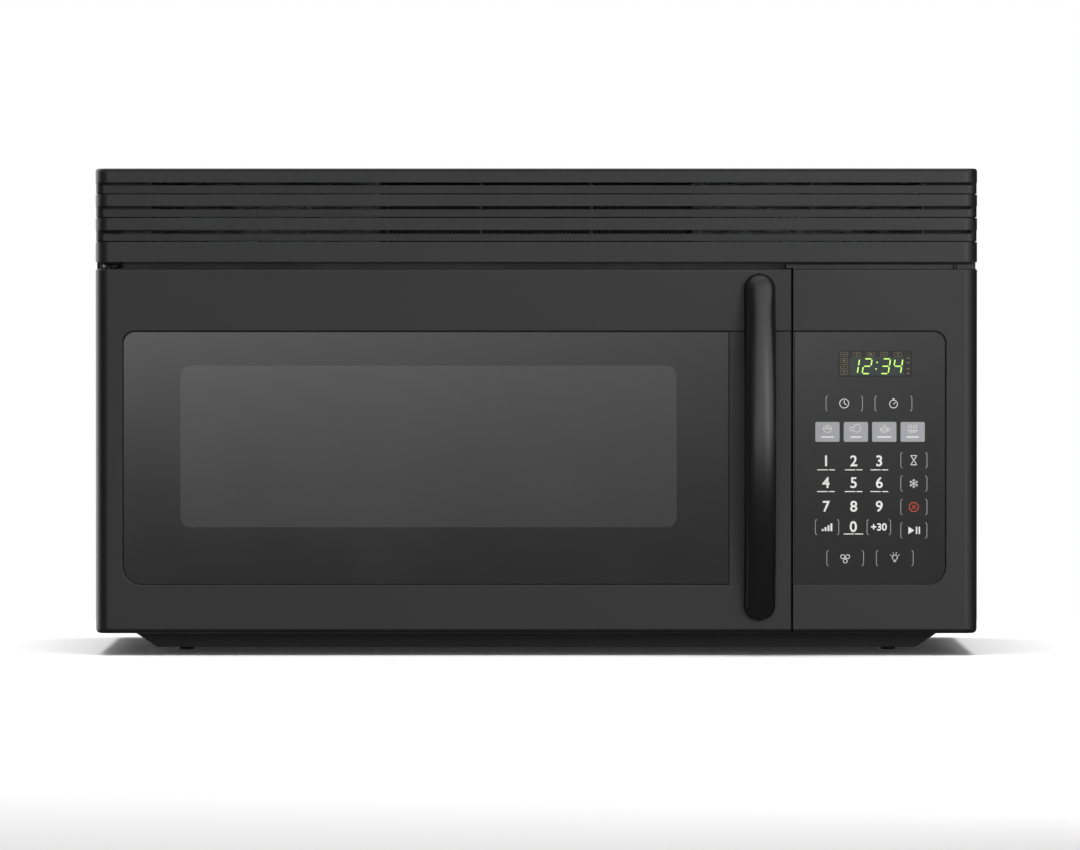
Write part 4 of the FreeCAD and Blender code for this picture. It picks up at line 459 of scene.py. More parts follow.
bracket_keys = [(28.4, 59.7, 54.8, 67.8), (70.5, 102.2, 54.8, 67.8), (92.7, 115.2, 103.5, 116.8),
                (92.7, 115.2, 123.7, 136.8), (92.7, 115.2, 143.7, 157.0),
                (92.7, 115.2, 163.9, 177.1), (19.2, 39.4, 161.3, 174.2),
                (63.7, 84.0, 161.3, 174.2), (29.1, 60.7, 187.9, 200.9),
                (71.7, 103.4, 187.9, 200.9)]
brackets = bmesh.new()
for x0, x1, down0, down1 in bracket_keys:
    for x, way in ((x0, 1), (x1, -1)):
        print_line(brackets, [(x + way * 1.5, down0), (x + way * 0.5, down0 + 0.3),
                              (x, down0 + 1.4), (x, down1 - 1.4), (x + way * 0.5, down1 - 0.3),
                              (x + way * 1.5, down1)], 0.62)
print_piece("keypad_brackets", brackets, epoxy_ink("pale_grey_epoxy_ink", "#97979a"))

quick_keys = [(19.2, 40.0), (43.6, 64.5), (68.0, 88.9), (92.5, 113.3)]
quick_top = 77.2
quick_low = 94.3
patches = bmesh.new()
for x0, x1 in quick_keys:
    corners = round_corners(x0, x1, -quick_low, -quick_top, (1.2, 1.2, 1.2, 1.2), 4)
    print_polygon(patches, [key_point(x, -z) for x, z in corners])
print_piece("quick_key_patches", patches, grey_ink)


def above_patches(shape):
    """Lift printed shapes from the sheet to the top of the grey patches."""
    bmesh.ops.translate(shape, verts=shape.verts, vec=Vector((0, -ink_height, 0)))


signs = bmesh.new()
x, down = 29.6, 82.6
print_ring(signs, x, down, 3.6, 0.5, 10, 160)
print_line(signs, [(x - 3.9, down + 0.4), (x + 3.9, down + 0.4)], 0.5)
for puff_x, puff_down in ((-2.0, -0.9), (0.0, -1.7), (2.0, -0.9)):
    print_ring(signs, x + puff_x, down + puff_down, 1.2, 0.4)
x = 54.0
print_ring(signs, x + 1.0, down, 3.1, 0.5, flatten=1.1)
print_ring(signs, x - 3.6, down + 0.6, 1.6, 0.5)
print_line(signs, [(x - 0.4, down - 1.2), (x + 0.2, down - 0.8)], 0.4)
print_line(signs, [(x + 1.4, down + 1.0), (x + 2.0, down + 1.3)], 0.4)
x = 78.4
print_ring(signs, x, down + 0.6, 3.4, 0.5, 0, 180, 0.85)
print_ring(signs, x, down + 0.6, 3.4, 0.5, 0, 360, 0.28)
print_ring(signs, x + 3.6, down + 1.4, 1.2, 0.45, -90, 180)
print_line(signs, [(x - 1.0, down - 3.2), (x - 0.4, down - 2.2), (x - 1.0, down - 1.3)], 0.4)
print_line(signs, [(x + 0.8, down - 3.2), (x + 1.4, down - 2.2), (x + 0.8, down - 1.3)], 0.4)
x = 102.9
print_line(signs, [(x - 4.4, down + 2.0), (x + 4.4, down + 2.0)], 0.6)
print_line(signs, [(x - 2.8, down + 3.3), (x + 2.8, down + 3.3)], 0.6)
for shift in (-3.2, -1.1, 1.1, 3.2):
    print_line(signs, [(x + shift, down + 0.6), (x + shift - 0.5, down - 0.7),
                       (x + shift + 0.5, down - 2.0), (x + shift, down - 3.3)], 0.45)
for (x0, x1), length in zip(quick_keys, (11.0, 9.4, 12.0, 10.6)):
    middle = (x0 + x1) / 2
    print_bar(signs, middle - length / 2, middle + length / 2, 89.6, 90.7)
above_patches(signs)
print_piece("quick_key_signs", signs, white_ink)

marks = bmesh.new()
for value in range(1, 7):
    x = digit_columns[(value - 1) % 3]
    down = digit_rows[(value - 1) // 3] + 7.2
    print_bar(marks, x - 7.6, x + 1.4, down - 0.4, down + 0.4)
    print_bar(marks, x + 2.4, x + 7.6, down - 0.4, down + 0.4)
print_bar(marks, zero_place[0] - 8.4, zero_place[0] + 0.6, 173.2, 174.0)
print_bar(marks, zero_place[0] + 1.6, zero_place[0] + 8.4, 173.2, 174.0)

x, down = 44.0, 61.3
print_ring(marks, x, down, 3.9, 0.6)
print_line(marks, [(x, down - 2.6), (x, down), (x + 2.0, down + 1.2)], 0.6)
x = 86.4
print_ring(marks, x, down + 0.5, 3.4, 0.6)
print_line(marks, [(x - 1.0, down - 4.1), (x + 1.0, down - 4.1)], 0.8)
print_line(marks, [(x, down - 3.6), (x, down - 2.9)], 0.6)
print_line(marks, [(x, down + 0.5), (x + 1.6, down - 1.0)], 0.6)
x, down = 103.9, 110.1
print_line(marks, [(x - 2.6, down - 4.0), (x + 2.6, down - 4.0), (x - 2.6, down + 4.0),
                   (x + 2.6, down + 4.0)], 0.6, closed=True)
down = 130.2
for turn in (30, 90, 150):
    ux, ud = around(0.0, 0.0, 1.0, turn)
    print_line(marks, [(x - 4.0 * ux, down - 4.0 * ud), (x + 4.0 * ux, down + 4.0 * ud)], 0.55)
    for way in (-1, 1):
        print_line(marks, [(x + way * 2.4 * ux - 1.1 * ud, down + way * 2.4 * ud + 1.1 * ux),
                           (x + way * 3.6 * ux, down + way * 3.6 * ud),
                           (x + way * 2.4 * ux + 1.1 * ud, down + way * 2.4 * ud - 1.1 * ux)],
                   0.4)
down = 170.5
print_polygon(marks, [key_point(x - 4.6, down + 3.2), key_point(x + 0.4, down),
                      key_point(x - 4.6, down - 3.2)])
print_bar(marks, x + 1.8, x + 3.0, down - 3.2, down + 3.2)
print_bar(marks, x + 4.2, x + 5.4, down - 3.2, down + 3.2)
x, down = 29.3, 167.8
for step, height in enumerate((1.8, 3.4, 5.0, 6.6)):
    print_bar(marks, x - 4.6 + step * 2.5, x - 3.0 + step * 2.5, down + 3.3 - height, down + 3.3)
x, down = 44.9, 194.4
for turn in (90, 210, 330):
    print_ring(marks, *around(x, down, 2.5, turn), 1.7, 0.6)
print_ring(marks, x, down, 0.5, 0.6)
x = 87.6
print_ring(marks, x, down - 0.6, 2.2, 0.6, 130, 280)
print_line(marks, [(x - 1.3, down + 1.8), (x + 1.3, down + 1.8)], 0.6)
print_line(marks, [(x - 1.0, down + 3.0), (x + 1.0, down + 3.0)], 0.6)
for turn in (-150, -110, -70, -30):
    print_line(marks, [around(x, down - 0.6, reach, turn) for reach in (3.4, 4.6)], 0.5)
plus = digit_outline("+30", 73.8, 167.9, 6.4)
marks.from_mesh(plus)
bpy.data.meshes.remove(plus)
print_piece("keypad_marks", marks, white_ink)

stop = bmesh.new()
x, down = 103.9, 150.4
corners = [around(x, down, 4.1, turn) for turn in range(22, 382, 45)]
print_line(stop, corners, 0.75, closed=True)
print_line(stop, [(x - 1.6, down - 1.6), (x + 1.6, down + 1.6)], 0.75)
print_line(stop, [(x - 1.6, down + 1.6), (x + 1.6, down - 1.6)], 0.75)
print_piece("stop_mark", stop, red_ink)


# ---- Display --------------------------------------------------------------------------------
# A smoked acrylic window over a vacuum-fluorescent tube. The lit segments are a yellow-green
# clock time, and faint beige cells stand round it where the tube has its small signs.

pane_low, pane_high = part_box("display_window")


def smoked_acrylic(name, colour, glow_box, glow_colour):
    """Smoked acrylic, IOR 1.49 and polished; the tube's grid shows as a grey-green field."""
    made, tree, place = start_material(name)
    mask = rectangle_mask(tree, place, *glow_box, 0.0005, 0.0004)
    axes = add(tree, "SeparateXYZ", {0: place})
    mesh_wave = add(tree, "Math", {0: axes.outputs["X"], 1: 2 * math.pi * 1000 / 0.6},
                    operation="MULTIPLY")
    ripple = add(tree, "Math", {0: mesh_wave.outputs[0]}, operation="SINE")
    wire = add(tree, "MapRange", {0: ripple.outputs[0], 1: -1.0, 2: 1.0, 3: 0.85, 4: 1.1})
    field = add(tree, "MixRGB", {0: 1.0, 1: linear(glow_colour), 2: wire.outputs[0]},
                blend_type="MULTIPLY")
    seen = add(tree, "MixRGB", {0: mask, 1: linear(colour), 2: field.outputs[0]})
    smear = add(tree, "TexNoise", {"Vector": place, "Scale": 1000 / 20, "Detail": 3.0})
    polish = add(tree, "MapRange", {0: smear.outputs[0], 3: 0.05, 4: 0.14})
    return surface(made, seen, polish, {"IOR": 1.49})


tube_low = key_point(48.6, 36.9)
tube_high = key_point(95.3, 21.4)
coat(smoked_acrylic("smoked_acrylic", "#0a0a0a", (tube_low.x, tube_high.x, tube_low.z,
                                                  tube_high.z), "#1e2b29"), "display_window")

segments = bmesh.new()
lean = math.tan(math.radians(9))


def lit_segments(shape, x_mm, which):
    """Seven-segment strokes of one leaning numeral whose lower left corner is given."""
    low, high, wide = 35.6, 22.9, 6.6
    half = (low + high) / 2
    strokes = {"a": (0, high, wide, high), "b": (wide, high, wide, half),
               "c": (wide, half, wide, low), "d": (0, low, wide, low),
               "e": (0, half, 0, low), "f": (0, high, 0, half), "g": (0, half, wide, half)}
    for key in which:
        xa, da, xb, db = strokes[key]
        if xa == xb:
            way = 1 if db > da else -1
            ends = ((xa, da + way * 0.75), (xb, db - way * 0.75))
        else:
            ends = ((xa + 0.75, da), (xb - 0.75, db))
        print_line(shape, [(x_mm + xe + (low - de) * lean, de) for xe, de in ends], 1.05)


lit_segments(segments, 48.6, "bc")
lit_segments(segments, 59.4, "abged")
lit_segments(segments, 75.2, "abgcd")
lit_segments(segments, 85.8, "fgbc")
for dot_down in (26.0, 31.6):
    dot_x = 70.8 + (35.6 - dot_down) * lean
    print_bar(segments, dot_x - 0.55, dot_x + 0.55, dot_down - 0.6, dot_down + 0.6)
print_piece("lit_segments", segments, epoxy_ink("lit_phosphor", "#b4e068", 0.75))

cells = bmesh.new()
cell_places = [(43.8, 19.0), (55.0, 19.0), (66.6, 19.0), (78.4, 19.0), (90.3, 19.0),
               (43.8, 24.4), (43.8, 29.6), (43.8, 34.7)]
for number, (x, down) in enumerate(cell_places):
    outline = round_corners(x - 3.1, x + 3.1, down - 1.7, down + 1.7, (0.5, 0.5, 0.5, 0.5), 3)
    print_line(cells, outline, 0.28, closed=True)
    if number % 3 == 0:
        print_line(cells, [(x - 1.6, down), (x + 1.6, down)], 0.4)
    elif number % 3 == 1:
        print_ring(cells, x, down, 0.8, 0.35)
    else:
        print_bar(cells, x - 1.2, x - 0.3, down - 0.7, down + 0.7)
        print_bar(cells, x + 0.3, x + 1.2, down - 0.7, down + 0.7)
for down in (22.4, 26.2, 31.5, 35.4):
    print_bar(cells, 97.9, 100.1, down - 0.4, down + 0.4)
print_piece("display_cells", cells, epoxy_ink("unlit_phosphor", "#7d7350"))


# ---- Case, base pan and hinges --------------------------------------------------------------
# Bent from cold-rolled sheet and powder-coated satin black. The powder leaves a fine orange
# peel, and along the folds the coat is thin and a little brighter.

def powder_coat(name, colour, edge_colour, peel_mm, roughness):
    """Powder coat: IOR 1.5 over steel, satin, with orange peel and thin bright folds."""
    made, tree, place = start_material(name)
    rounded, edge = worn_edge(tree, 0.9)
    cloud = add(tree, "TexNoise", {"Vector": place, "Scale": 1000 / 120, "Detail": 4.0})
    peel = add(tree, "TexNoise", {"Vector": place, "Scale": 1000 / peel_mm, "Detail": 1.0})
    speck = add(tree, "TexVoronoi", {"Vector": place, "Scale": 1000 / (peel_mm * 0.6)})
    tint = add(tree, "MixRGB", {0: cloud.outputs[0], 1: linear(colour),
                                2: [c * 1.3 for c in linear(colour)[:3]] + [1]})
    worn = add(tree, "MixRGB", {0: edge, 1: tint.outputs[0], 2: linear(edge_colour)})
    dull = add(tree, "MapRange", {0: speck.outputs["Distance"], 3: roughness + 0.06,
                                  4: roughness - 0.03})
    return surface(made, worn, dull, {"IOR": 1.5}, peel.outputs[0], 0.25, 0.08, rounded)


coat(powder_coat("satin_black_powder", "#0f0f10", "#242424", 1.6, 0.36), "outer_wrap")
# The base pan and hinges are matt black powder, drawn darker than the case: partly their own
# coat, partly painted shade for where they sit, under the oven and in the hinge notch.
coat(powder_coat("matt_black_powder_with_painted_shade", "#080808", "#1a1a1a", 2.2, 0.5), "base_pan", "upper_hinge",
     "lower_hinge")


# ---- Oven front and cavity ------------------------------------------------------------------
# The oven's box and its front plate are drawn steel with a baked enamel, which has a clear
# gloss and a sparse dark fleck. It is light grey in the box and near black on the front plate,
# partly the plate's own coat and partly painted shade for the gap under the grille.

def baked_enamel(name, colour, fleck_colour, roughness):
    """Baked enamel: IOR 1.5, glossy and speckled, darker along its edges and in inside corners,
    its gloss varying in soft patches.
    """
    made, tree, place = start_material(name)
    rounded, edge = worn_edge(tree, 1.2)
    fleck = add(tree, "TexVoronoi", {"Vector": place, "Scale": 1000 / 3.5})
    dot = add(tree, "MapRange", {0: fleck.outputs["Distance"], 1: 0.1, 2: 0.16, 3: 1.0, 4: 0.0})
    cloud = add(tree, "TexNoise", {"Vector": place, "Scale": 1000 / 80, "Detail": 3.0})
    tint = add(tree, "MixRGB", {0: cloud.outputs[0], 1: linear(colour),
                                2: [c * 0.88 for c in linear(colour)[:3]] + [1]})
    seen = add(tree, "MixRGB", {0: dot.outputs[0], 1: tint.outputs[0], 2: linear(fleck_colour)})
    worn = add(tree, "MixRGB", {0: edge, 1: seen.outputs[0],
                                2: [c * 0.7 for c in linear(colour)[:3]] + [1]})
    dull = add(tree, "MapRange", {0: cloud.outputs[0], 3: roughness - 0.05, 4: roughness + 0.12})
    flow = add(tree, "TexNoise", {"Vector": place, "Scale": 1000 / 6})
    return surface(made, worn, dull, {"IOR": 1.5}, flow.outputs[0], 0.15, 0.1, rounded)


coat(baked_enamel("grey_enamel", "#a9aaa6", "#77787a", 0.25), "oven_cavity")
# The front plate's near black is partly its own coat and partly painted shade for the gap under
# the grille.
coat(baked_enamel("dark_enamel_gap_shade", "#1a1a1b", "#2c2c2d", 0.3), "front_plate")


# ---- Galvanised parts -----------------------------------------------------------------------
# The back plate, the blower's scrolls, the waveguide, the lamp bracket and the motors' cans
# are hot-dip galvanised sheet, with the crystals of the zinc as large soft spangles.

def galvanised(name, colour, dark_colour, spangle_mm, roughness):
    """Hot-dip zinc: fully metallic, each spangle with its own tone and its own dullness."""
    made, tree, place = start_material(name)
    rounded, edge = worn_edge(tree, 0.8)
    spangle = add(tree, "TexVoronoi", {"Vector": place, "Scale": 1000 / spangle_mm})
    tone = add(tree, "SeparateColor", {0: spangle.outputs["Color"]})
    tint = add(tree, "MixRGB", {0: tone.outputs[0], 1: linear(colour), 2: linear(dark_colour)})
    bright = add(tree, "MixRGB", {0: edge, 1: tint.outputs[0], 2: linear("#c9cccd")})
    dull = add(tree, "MapRange", {0: tone.outputs[1], 3: roughness - 0.08, 4: roughness + 0.1})
    grain = add(tree, "TexNoise", {"Vector": place, "Scale": 1000 / 1.2, "Detail": 3.0})
    return surface(made, bright, dull, {"Metallic": 1.0}, grain.outputs[0], 0.15, 0.04, rounded)


coat(galvanised("spangled_zinc", "#a4a8aa", "#85898c", 9.0, 0.38), "rear_plate", "left_scroll",
     "right_scroll", "waveguide", "lamp_holder")
coat(galvanised("plated_steel", "#b5b7b4", "#9da09e", 3.0, 0.3), "magnetron", "turntable_motor",
     "hanging_nuts")


# ---- Screws, springs and shafts -------------------------------------------------------------
# Small fasteners are zinc-plated and lightly yellowed. The spring and the blower's shaft are
# bare hardened steel, drawn along their length and oiled.

def bright_steel(name, colour, stain_colour, grain_mm, roughness):
    """Drawn or plated steel: metallic, finely scored, with a thin uneven stain."""
    made, tree, place = start_material(name)
    rounded, edge = worn_edge(tree, 0.3)
    stain = add(tree, "TexNoise", {"Vector": place, "Scale": 1000 / 4, "Detail": 4.0})
    tint = add(tree, "MixRGB", {0: stain.outputs[0], 1: linear(colour), 2: linear(stain_colour)})
    bright = add(tree, "MixRGB", {0: edge, 1: tint.outputs[0], 2: linear("#d8d8d4")})
    score = add(tree, "TexNoise", {"Vector": place, "Scale": 1000 / grain_mm, "Detail": 2.0})
    dull = add(tree, "MapRange", {0: score.outputs[0], 3: roughness - 0.06, 4: roughness + 0.08})
    return surface(made, bright, dull, {"Metallic": 1.0}, score.outputs[0], 0.2, 0.02, rounded)


coat(bright_steel("yellow_zinc", "#b7ad8e", "#948a6c", 0.3, 0.3), "handle_screws",
     "case_screws")
coat(bright_steel("spring_steel", "#8f9192", "#6c6e70", 0.2, 0.25), "latch_spring",
     "blower_shaft")


# ---- Steel screen of the door and its inner window ------------------------------------------
# The folded steel tray in the door is perforated over the window with holes too small for
# the waves. On the oven side a clear polyester sheet keeps the grease out of the holes.

def perforated_steel(name, colour, hole_shade_colour, field, pitch_mm):
    """Grey-painted steel, IOR 1.5, with rows of round holes inside the window's field, painted
    dark as shade.
    """
    made, tree, place = start_material(name)
    rounded, edge = worn_edge(tree, 0.8)
    rows = add(tree, "Mapping", {"Vector": place, "Scale": (1.0, 0.0, 1.0)})
    holes = add(tree, "TexVoronoi", {"Vector": rows.outputs[0], "Scale": 1000 / pitch_mm,
                                     "Randomness": 0.0})
    hole = add(tree, "MapRange", {0: holes.outputs["Distance"], 1: 0.3, 2: 0.36, 3: 1.0, 4: 0.0})
    inside = rectangle_mask(tree, place, *field, 0.01, 0.0008)
    open_here = add(tree, "Math", {0: hole.outputs[0], 1: inside}, operation="MULTIPLY")
    cloud = add(tree, "TexNoise", {"Vector": place, "Scale": 1000 / 40, "Detail": 3.0})
    tint = add(tree, "MixRGB", {0: cloud.outputs[0], 1: linear(colour),
                                2: [c * 1.2 for c in linear(colour)[:3]] + [1]})
    rubbed = add(tree, "MixRGB", {0: edge, 1: tint.outputs[0], 2: linear("#4a4a4a")})
    # The holes are drawn, not cut: their dark is painted shade for the unlit space behind the
    # screen.
    seen = add(tree, "MixRGB", {0: open_here.outputs[0], 1: rubbed.outputs[0],
                                2: linear(hole_shade_colour)})
    dull = add(tree, "MapRange", {0: cloud.outputs[0], 3: 0.35, 4: 0.5})
    dent = add(tree, "Math", {0: 1.0, 1: open_here.outputs[0]}, operation="SUBTRACT")
    return surface(made, seen, dull, {"IOR": 1.5}, dent.outputs[0], 0.4, 0.3, rounded)


coat(perforated_steel("perforated_screen", "#262627", "#030303",
                      (window[0] - 0.006, window[1] + 0.006, window[2] - 0.006,
                       window[3] + 0.006), 2.4), "choke_panel")


def clear_sheet(name, colour, roughness, wave_mm, index):
    """A clear pane or pressing: all transmission, a faint tint, and a slightly uneven face."""
    made, tree, place = start_material(name)
    rounded, edge = worn_edge(tree, 0.5)
    wave = add(tree, "TexNoise", {"Vector": place, "Scale": 1000 / wave_mm, "Detail": 2.0})
    tint = add(tree, "MixRGB", {0: edge, 1: linear("#f2f6f4"), 2: linear(colour)})
    film = add(tree, "MapRange", {0: wave.outputs[0], 3: roughness * 0.5, 4: roughness * 1.5})
    return surface(made, tint, film, {"IOR": index, "Transmission Weight": 1.0},
                   wave.outputs[0], 0.06, 0.2, rounded)


coat(clear_sheet("clear_polyester", "#b9c4c0", 0.03, 30, 1.57), "inner_window")


# ---- Turntable ------------------------------------------------------------------------------
# The tray is pressed soda-lime glass with a green edge. It rides on acetal wheels round a
# moulded ring, and a moulded driver turns it.

coat(clear_sheet("pressed_glass", "#9fc4b4", 0.02, 12, 1.52), "glass_tray")


def engineering_plastic(name, colour, shade, grain_mm, roughness):
    """Moulded acetal, nylon or polypropylene: IOR 1.5, waxy, with flow marks and soft edges."""
    made, tree, place = start_material(name)
    rounded, edge = worn_edge(tree, 0.6)
    flow = add(tree, "TexNoise", {"Vector": place, "Scale": 1000 / 18, "Detail": 2.0,
                                  "Distortion": 1.5})
    tint = add(tree, "MixRGB", {0: flow.outputs[0], 1: linear(colour), 2: linear(shade)})
    soft = add(tree, "MixRGB", {0: edge, 1: tint.outputs[0],
                                2: [min(c * 1.25, 1) for c in linear(colour)[:3]] + [1]})
    dull = add(tree, "MapRange", {0: flow.outputs[0], 3: roughness - 0.05, 4: roughness + 0.08})
    grain = add(tree, "TexNoise", {"Vector": place, "Scale": 1000 / grain_mm})
    return surface(made, soft, dull, {"IOR": 1.5, "Subsurface Weight": 0.02},
                   grain.outputs[0], 0.1, 0.05, rounded)


coat(engineering_plastic("white_acetal", "#dcdbd5", "#cfcdc4", 0.8, 0.32), "roller_1",
     "roller_2", "roller_3", "turntable_coupler", "latch_hooks", "interlock_switches")
coat(engineering_plastic("grey_nylon", "#6f7072", "#606163", 0.9, 0.42), "roller_ring",
     "latch_board", "fan_shroud", "display_module")
coat(engineering_plastic("black_polypropylene", "#141415", "#1d1d1e", 0.7, 0.4),
     "blower_wheels", "cooling_fan", "hv_diode")


# ---- Power parts ----------------------------------------------------------------------------
# The transformer's core is a welded stack of varnished iron sheets, and its coils are wound
# of enamelled copper wire. The capacitor's can is drawn aluminium.

def layered(name, colour, line_colour, pitch_mm, axis, metallic, roughness):
    """Sheets or wires side by side: fine parallel lines, each a little apart in tone."""
    made, tree, place = start_material(name)
    rounded, edge = worn_edge(tree, 0.6)
    axes = add(tree, "SeparateXYZ", {0: place})
    count = add(tree, "Math", {0: axes.outputs[axis], 1: 2 * math.pi * 1000 / pitch_mm},
                operation="MULTIPLY")
    ripple = add(tree, "Math", {0: count.outputs[0]}, operation="SINE")
    ridge = add(tree, "MapRange", {0: ripple.outputs[0], 1: -1.0, 2: 1.0})
    blotch = add(tree, "TexNoise", {"Vector": place, "Scale": 1000 / 7, "Detail": 3.0})
    both = add(tree, "Math", {0: ridge.outputs[0], 1: blotch.outputs[0]}, operation="MULTIPLY")
    tint = add(tree, "MixRGB", {0: both.outputs[0], 1: linear(line_colour), 2: linear(colour)})
    bare = add(tree, "MixRGB", {0: edge, 1: tint.outputs[0], 2: linear(colour)})
    dull = add(tree, "MapRange", {0: blotch.outputs[0], 3: roughness - 0.06, 4: roughness + 0.1})
    return surface(made, bare, dull, {"Metallic": metallic}, ridge.outputs[0], 0.5, 0.1, rounded)


coat(layered("varnished_laminations", "#4a4744", "#1c1a19", 1.0, "X", 1.0, 0.45),
     "transformer_core", "fan_motor")
coat(layered("enamelled_copper", "#b4673a", "#5a2a14", 1.1, "Z", 1.0, 0.3),
     "transformer_windings")
coat(layered("drawn_aluminium", "#b9bbbd", "#9fa1a3", 0.25, "Z", 1.0, 0.3), "hv_capacitor",
     "blower_motor")


# ---- Boards ---------------------------------------------------------------------------------
# The control board and the mains filter are pale brown phenolic paper boards with green
# solder resist, their parts soldered on in rows.

def circuit_board(name, resist, copper, pitch_mm):
    """Solder resist over copper tracks: a glossy green with paler lines, IOR 1.5."""
    made, tree, place = start_material(name)
    rounded, edge = worn_edge(tree, 0.4)
    cell = add(tree, "TexBrick", {"Vector": place, "Scale": 1000 / pitch_mm,
                                  "Color1": linear(resist), "Color2": linear(copper),
                                  "Mortar": linear("#0d2a18"), "Mortar Size": 0.06})
    track = add(tree, "TexNoise", {"Vector": place, "Scale": 1000 / 9, "Detail": 1.0})
    tint = add(tree, "MixRGB", {0: track.outputs[0], 1: linear(resist), 2: cell.outputs[0]})
    bare = add(tree, "MixRGB", {0: edge, 1: tint.outputs[0], 2: linear("#8a7648")})
    dull = add(tree, "MapRange", {0: track.outputs[0], 3: 0.25, 4: 0.45})
    return surface(made, bare, dull, {"IOR": 1.5}, cell.outputs[1], 0.3, 0.1, rounded)


coat(circuit_board("green_resist", "#1c5a34", "#2f7a4a", 6.0), "control_board", "line_filter")


# ---- Mica, ceramic and lamps ----------------------------------------------------------------
# The waveguide's cover is pressed mica flake. The lamp holders and the thermostats' discs are
# steatite ceramic, and the bulbs and lenses are glass, frosted from within.

def mineral(name, colour, fleck_colour, fleck_mm, roughness, shine):
    """Pressed or fired mineral: flakes of two tones, with a coat that shines by its amount."""
    made, tree, place = start_material(name)
    rounded, edge = worn_edge(tree, 0.5)
    flakes = add(tree, "TexVoronoi", {"Vector": place, "Scale": 1000 / fleck_mm})
    tone = add(tree, "SeparateColor", {0: flakes.outputs["Color"]})
    tint = add(tree, "MixRGB", {0: tone.outputs[0], 1: linear(colour), 2: linear(fleck_colour)})
    chipped = add(tree, "MixRGB", {0: edge, 1: tint.outputs[0], 2: linear(colour)})
    dull = add(tree, "MapRange", {0: tone.outputs[1], 3: roughness - 0.08, 4: roughness + 0.08})
    return surface(made, chipped, dull, {"IOR": 1.58, "Coat Weight": shine},
                   tone.outputs[2], 0.2, 0.05, rounded)


coat(mineral("pressed_mica", "#b79f76", "#d0bd97", 3.0, 0.4, 0.2), "waveguide_cover")
coat(mineral("steatite", "#ddd6c6", "#cfc7b4", 1.0, 0.45, 0.0), "surface_sockets",
     "thermal_cutouts")
coat(clear_sheet("frosted_glass", "#cfd8d8", 0.35, 5, 1.5), "surface_lamp_lenses",
     "surface_bulbs", "cavity_lamp")


# ---- Filters --------------------------------------------------------------------------------
# Each grease filter is expanded aluminium mesh in a folded frame. The charcoal filter is a
# flat cassette of black granules behind the grille.

def woven_metal(name, wire_colour, gap_shade_colour, pitch_mm):
    """Expanded aluminium: bright crossing strands, IOR as metal, over gaps painted dark as
    shade.
    """
    made, tree, place = start_material(name)
    rounded, edge = worn_edge(tree, 0.8)
    turned = add(tree, "Mapping", {"Vector": place, "Rotation": (0.0, 0.0, math.radians(45)),
                                   "Scale": (1.0, 1.0, 0.0)})
    cells = add(tree, "TexVoronoi", {"Vector": turned.outputs[0], "Scale": 1000 / pitch_mm,
                                     "Randomness": 0.15}, distance="CHEBYCHEV")
    strand = add(tree, "MapRange", {0: cells.outputs["Distance"], 1: 0.3, 2: 0.42})
    # The gaps between the strands are painted dark: painted shade for the openings and the space
    # behind them.
    tint = add(tree, "MixRGB", {0: strand.outputs[0], 1: linear(gap_shade_colour),
                                2: linear(wire_colour)})
    bright = add(tree, "MixRGB", {0: edge, 1: tint.outputs[0], 2: linear("#cfd1d2")})
    smear = add(tree, "TexNoise", {"Vector": place, "Scale": 1000 / 30, "Detail": 3.0})
    dull = add(tree, "MapRange", {0: smear.outputs[0], 3: 0.28, 4: 0.5})
    return surface(made, bright, dull, {"Metallic": strand.outputs[0]},
                   strand.outputs[0], 0.6, 0.6, rounded)


coat(woven_metal("expanded_aluminium", "#a7a9ab", "#17181a", 3.2), "grease_filters")
coat(woven_metal("charcoal_cassette", "#1c1c1d", "#050505", 2.4), "charcoal_filter")


# ---- Feet and cord bushing ------------------------------------------------------------------
# Black nitrile rubber, moulded, with a bloom that greys its rims.

def nitrile_rubber(name, colour, bloom_colour):
    """Moulded rubber: IOR 1.52, rough and dark, with a pale bloom on its edges."""
    made, tree, place = start_material(name)
    rounded, edge = worn_edge(tree, 1.0)
    bloom = add(tree, "TexNoise", {"Vector": place, "Scale": 1000 / 5, "Detail": 4.0})
    tint = add(tree, "MixRGB", {0: bloom.outputs[0], 1: linear(colour),
                                2: [c * 1.5 for c in linear(colour)[:3]] + [1]})
    rim = add(tree, "MixRGB", {0: edge, 1: tint.outputs[0], 2: linear(bloom_colour)})
    dull = add(tree, "MapRange", {0: bloom.outputs[0], 3: 0.6, 4: 0.8})
    return surface(made, rim, dull, {"IOR": 1.52}, bloom.outputs[0], 0.3, 0.06, rounded)


coat(nitrile_rubber("nitrile_rubber", "#101010", "#232323"), "feet", "cord_gland")


# ---- Floor ----------------------------------------------------------------------------------
# A plain white studio sweep with a soft satin that darkens only under the object, where a faint
# glow of its own, painted light, lifts the shadow.

def stage_plane(name, x0, x1, y0, y1, z):
    """A level sheet of the studio."""
    mesh = bpy.data.meshes.new(name)
    mesh.from_pydata([(x0, y0, z), (x1, y0, z), (x1, y1, z), (x0, y1, z)], [], [(0, 1, 2, 3)])
    piece = bpy.data.objects.new(name, mesh)
    bpy.context.scene.collection.objects.link(piece)
    return piece


def studio_paper(name, colour, shade):
    """Seamless paper: fully diffuse, with a faint fibre, and a faint painted glow that lifts its
    shade.
    """
    made, tree, place = start_material(name)
    fibre = add(tree, "TexNoise", {"Vector": place, "Scale": 1000 / 15, "Detail": 3.0})
    tint = add(tree, "MixRGB", {0: fibre.outputs[0], 1: linear(colour), 2: linear(shade)})
    # The emission is painted light: a faint glow that keeps the shadow under the object from
    # going black.
    shader = add(tree, "BsdfPrincipled", {"Base Color": tint.outputs[0], "Roughness": 0.9,
                                          "Specular IOR Level": 0.1,
                                          "Emission Color": linear(colour),
                                          "Emission Strength": 0.02})
    add(tree, "OutputMaterial", {"Surface": shader.outputs[0]})
    return made


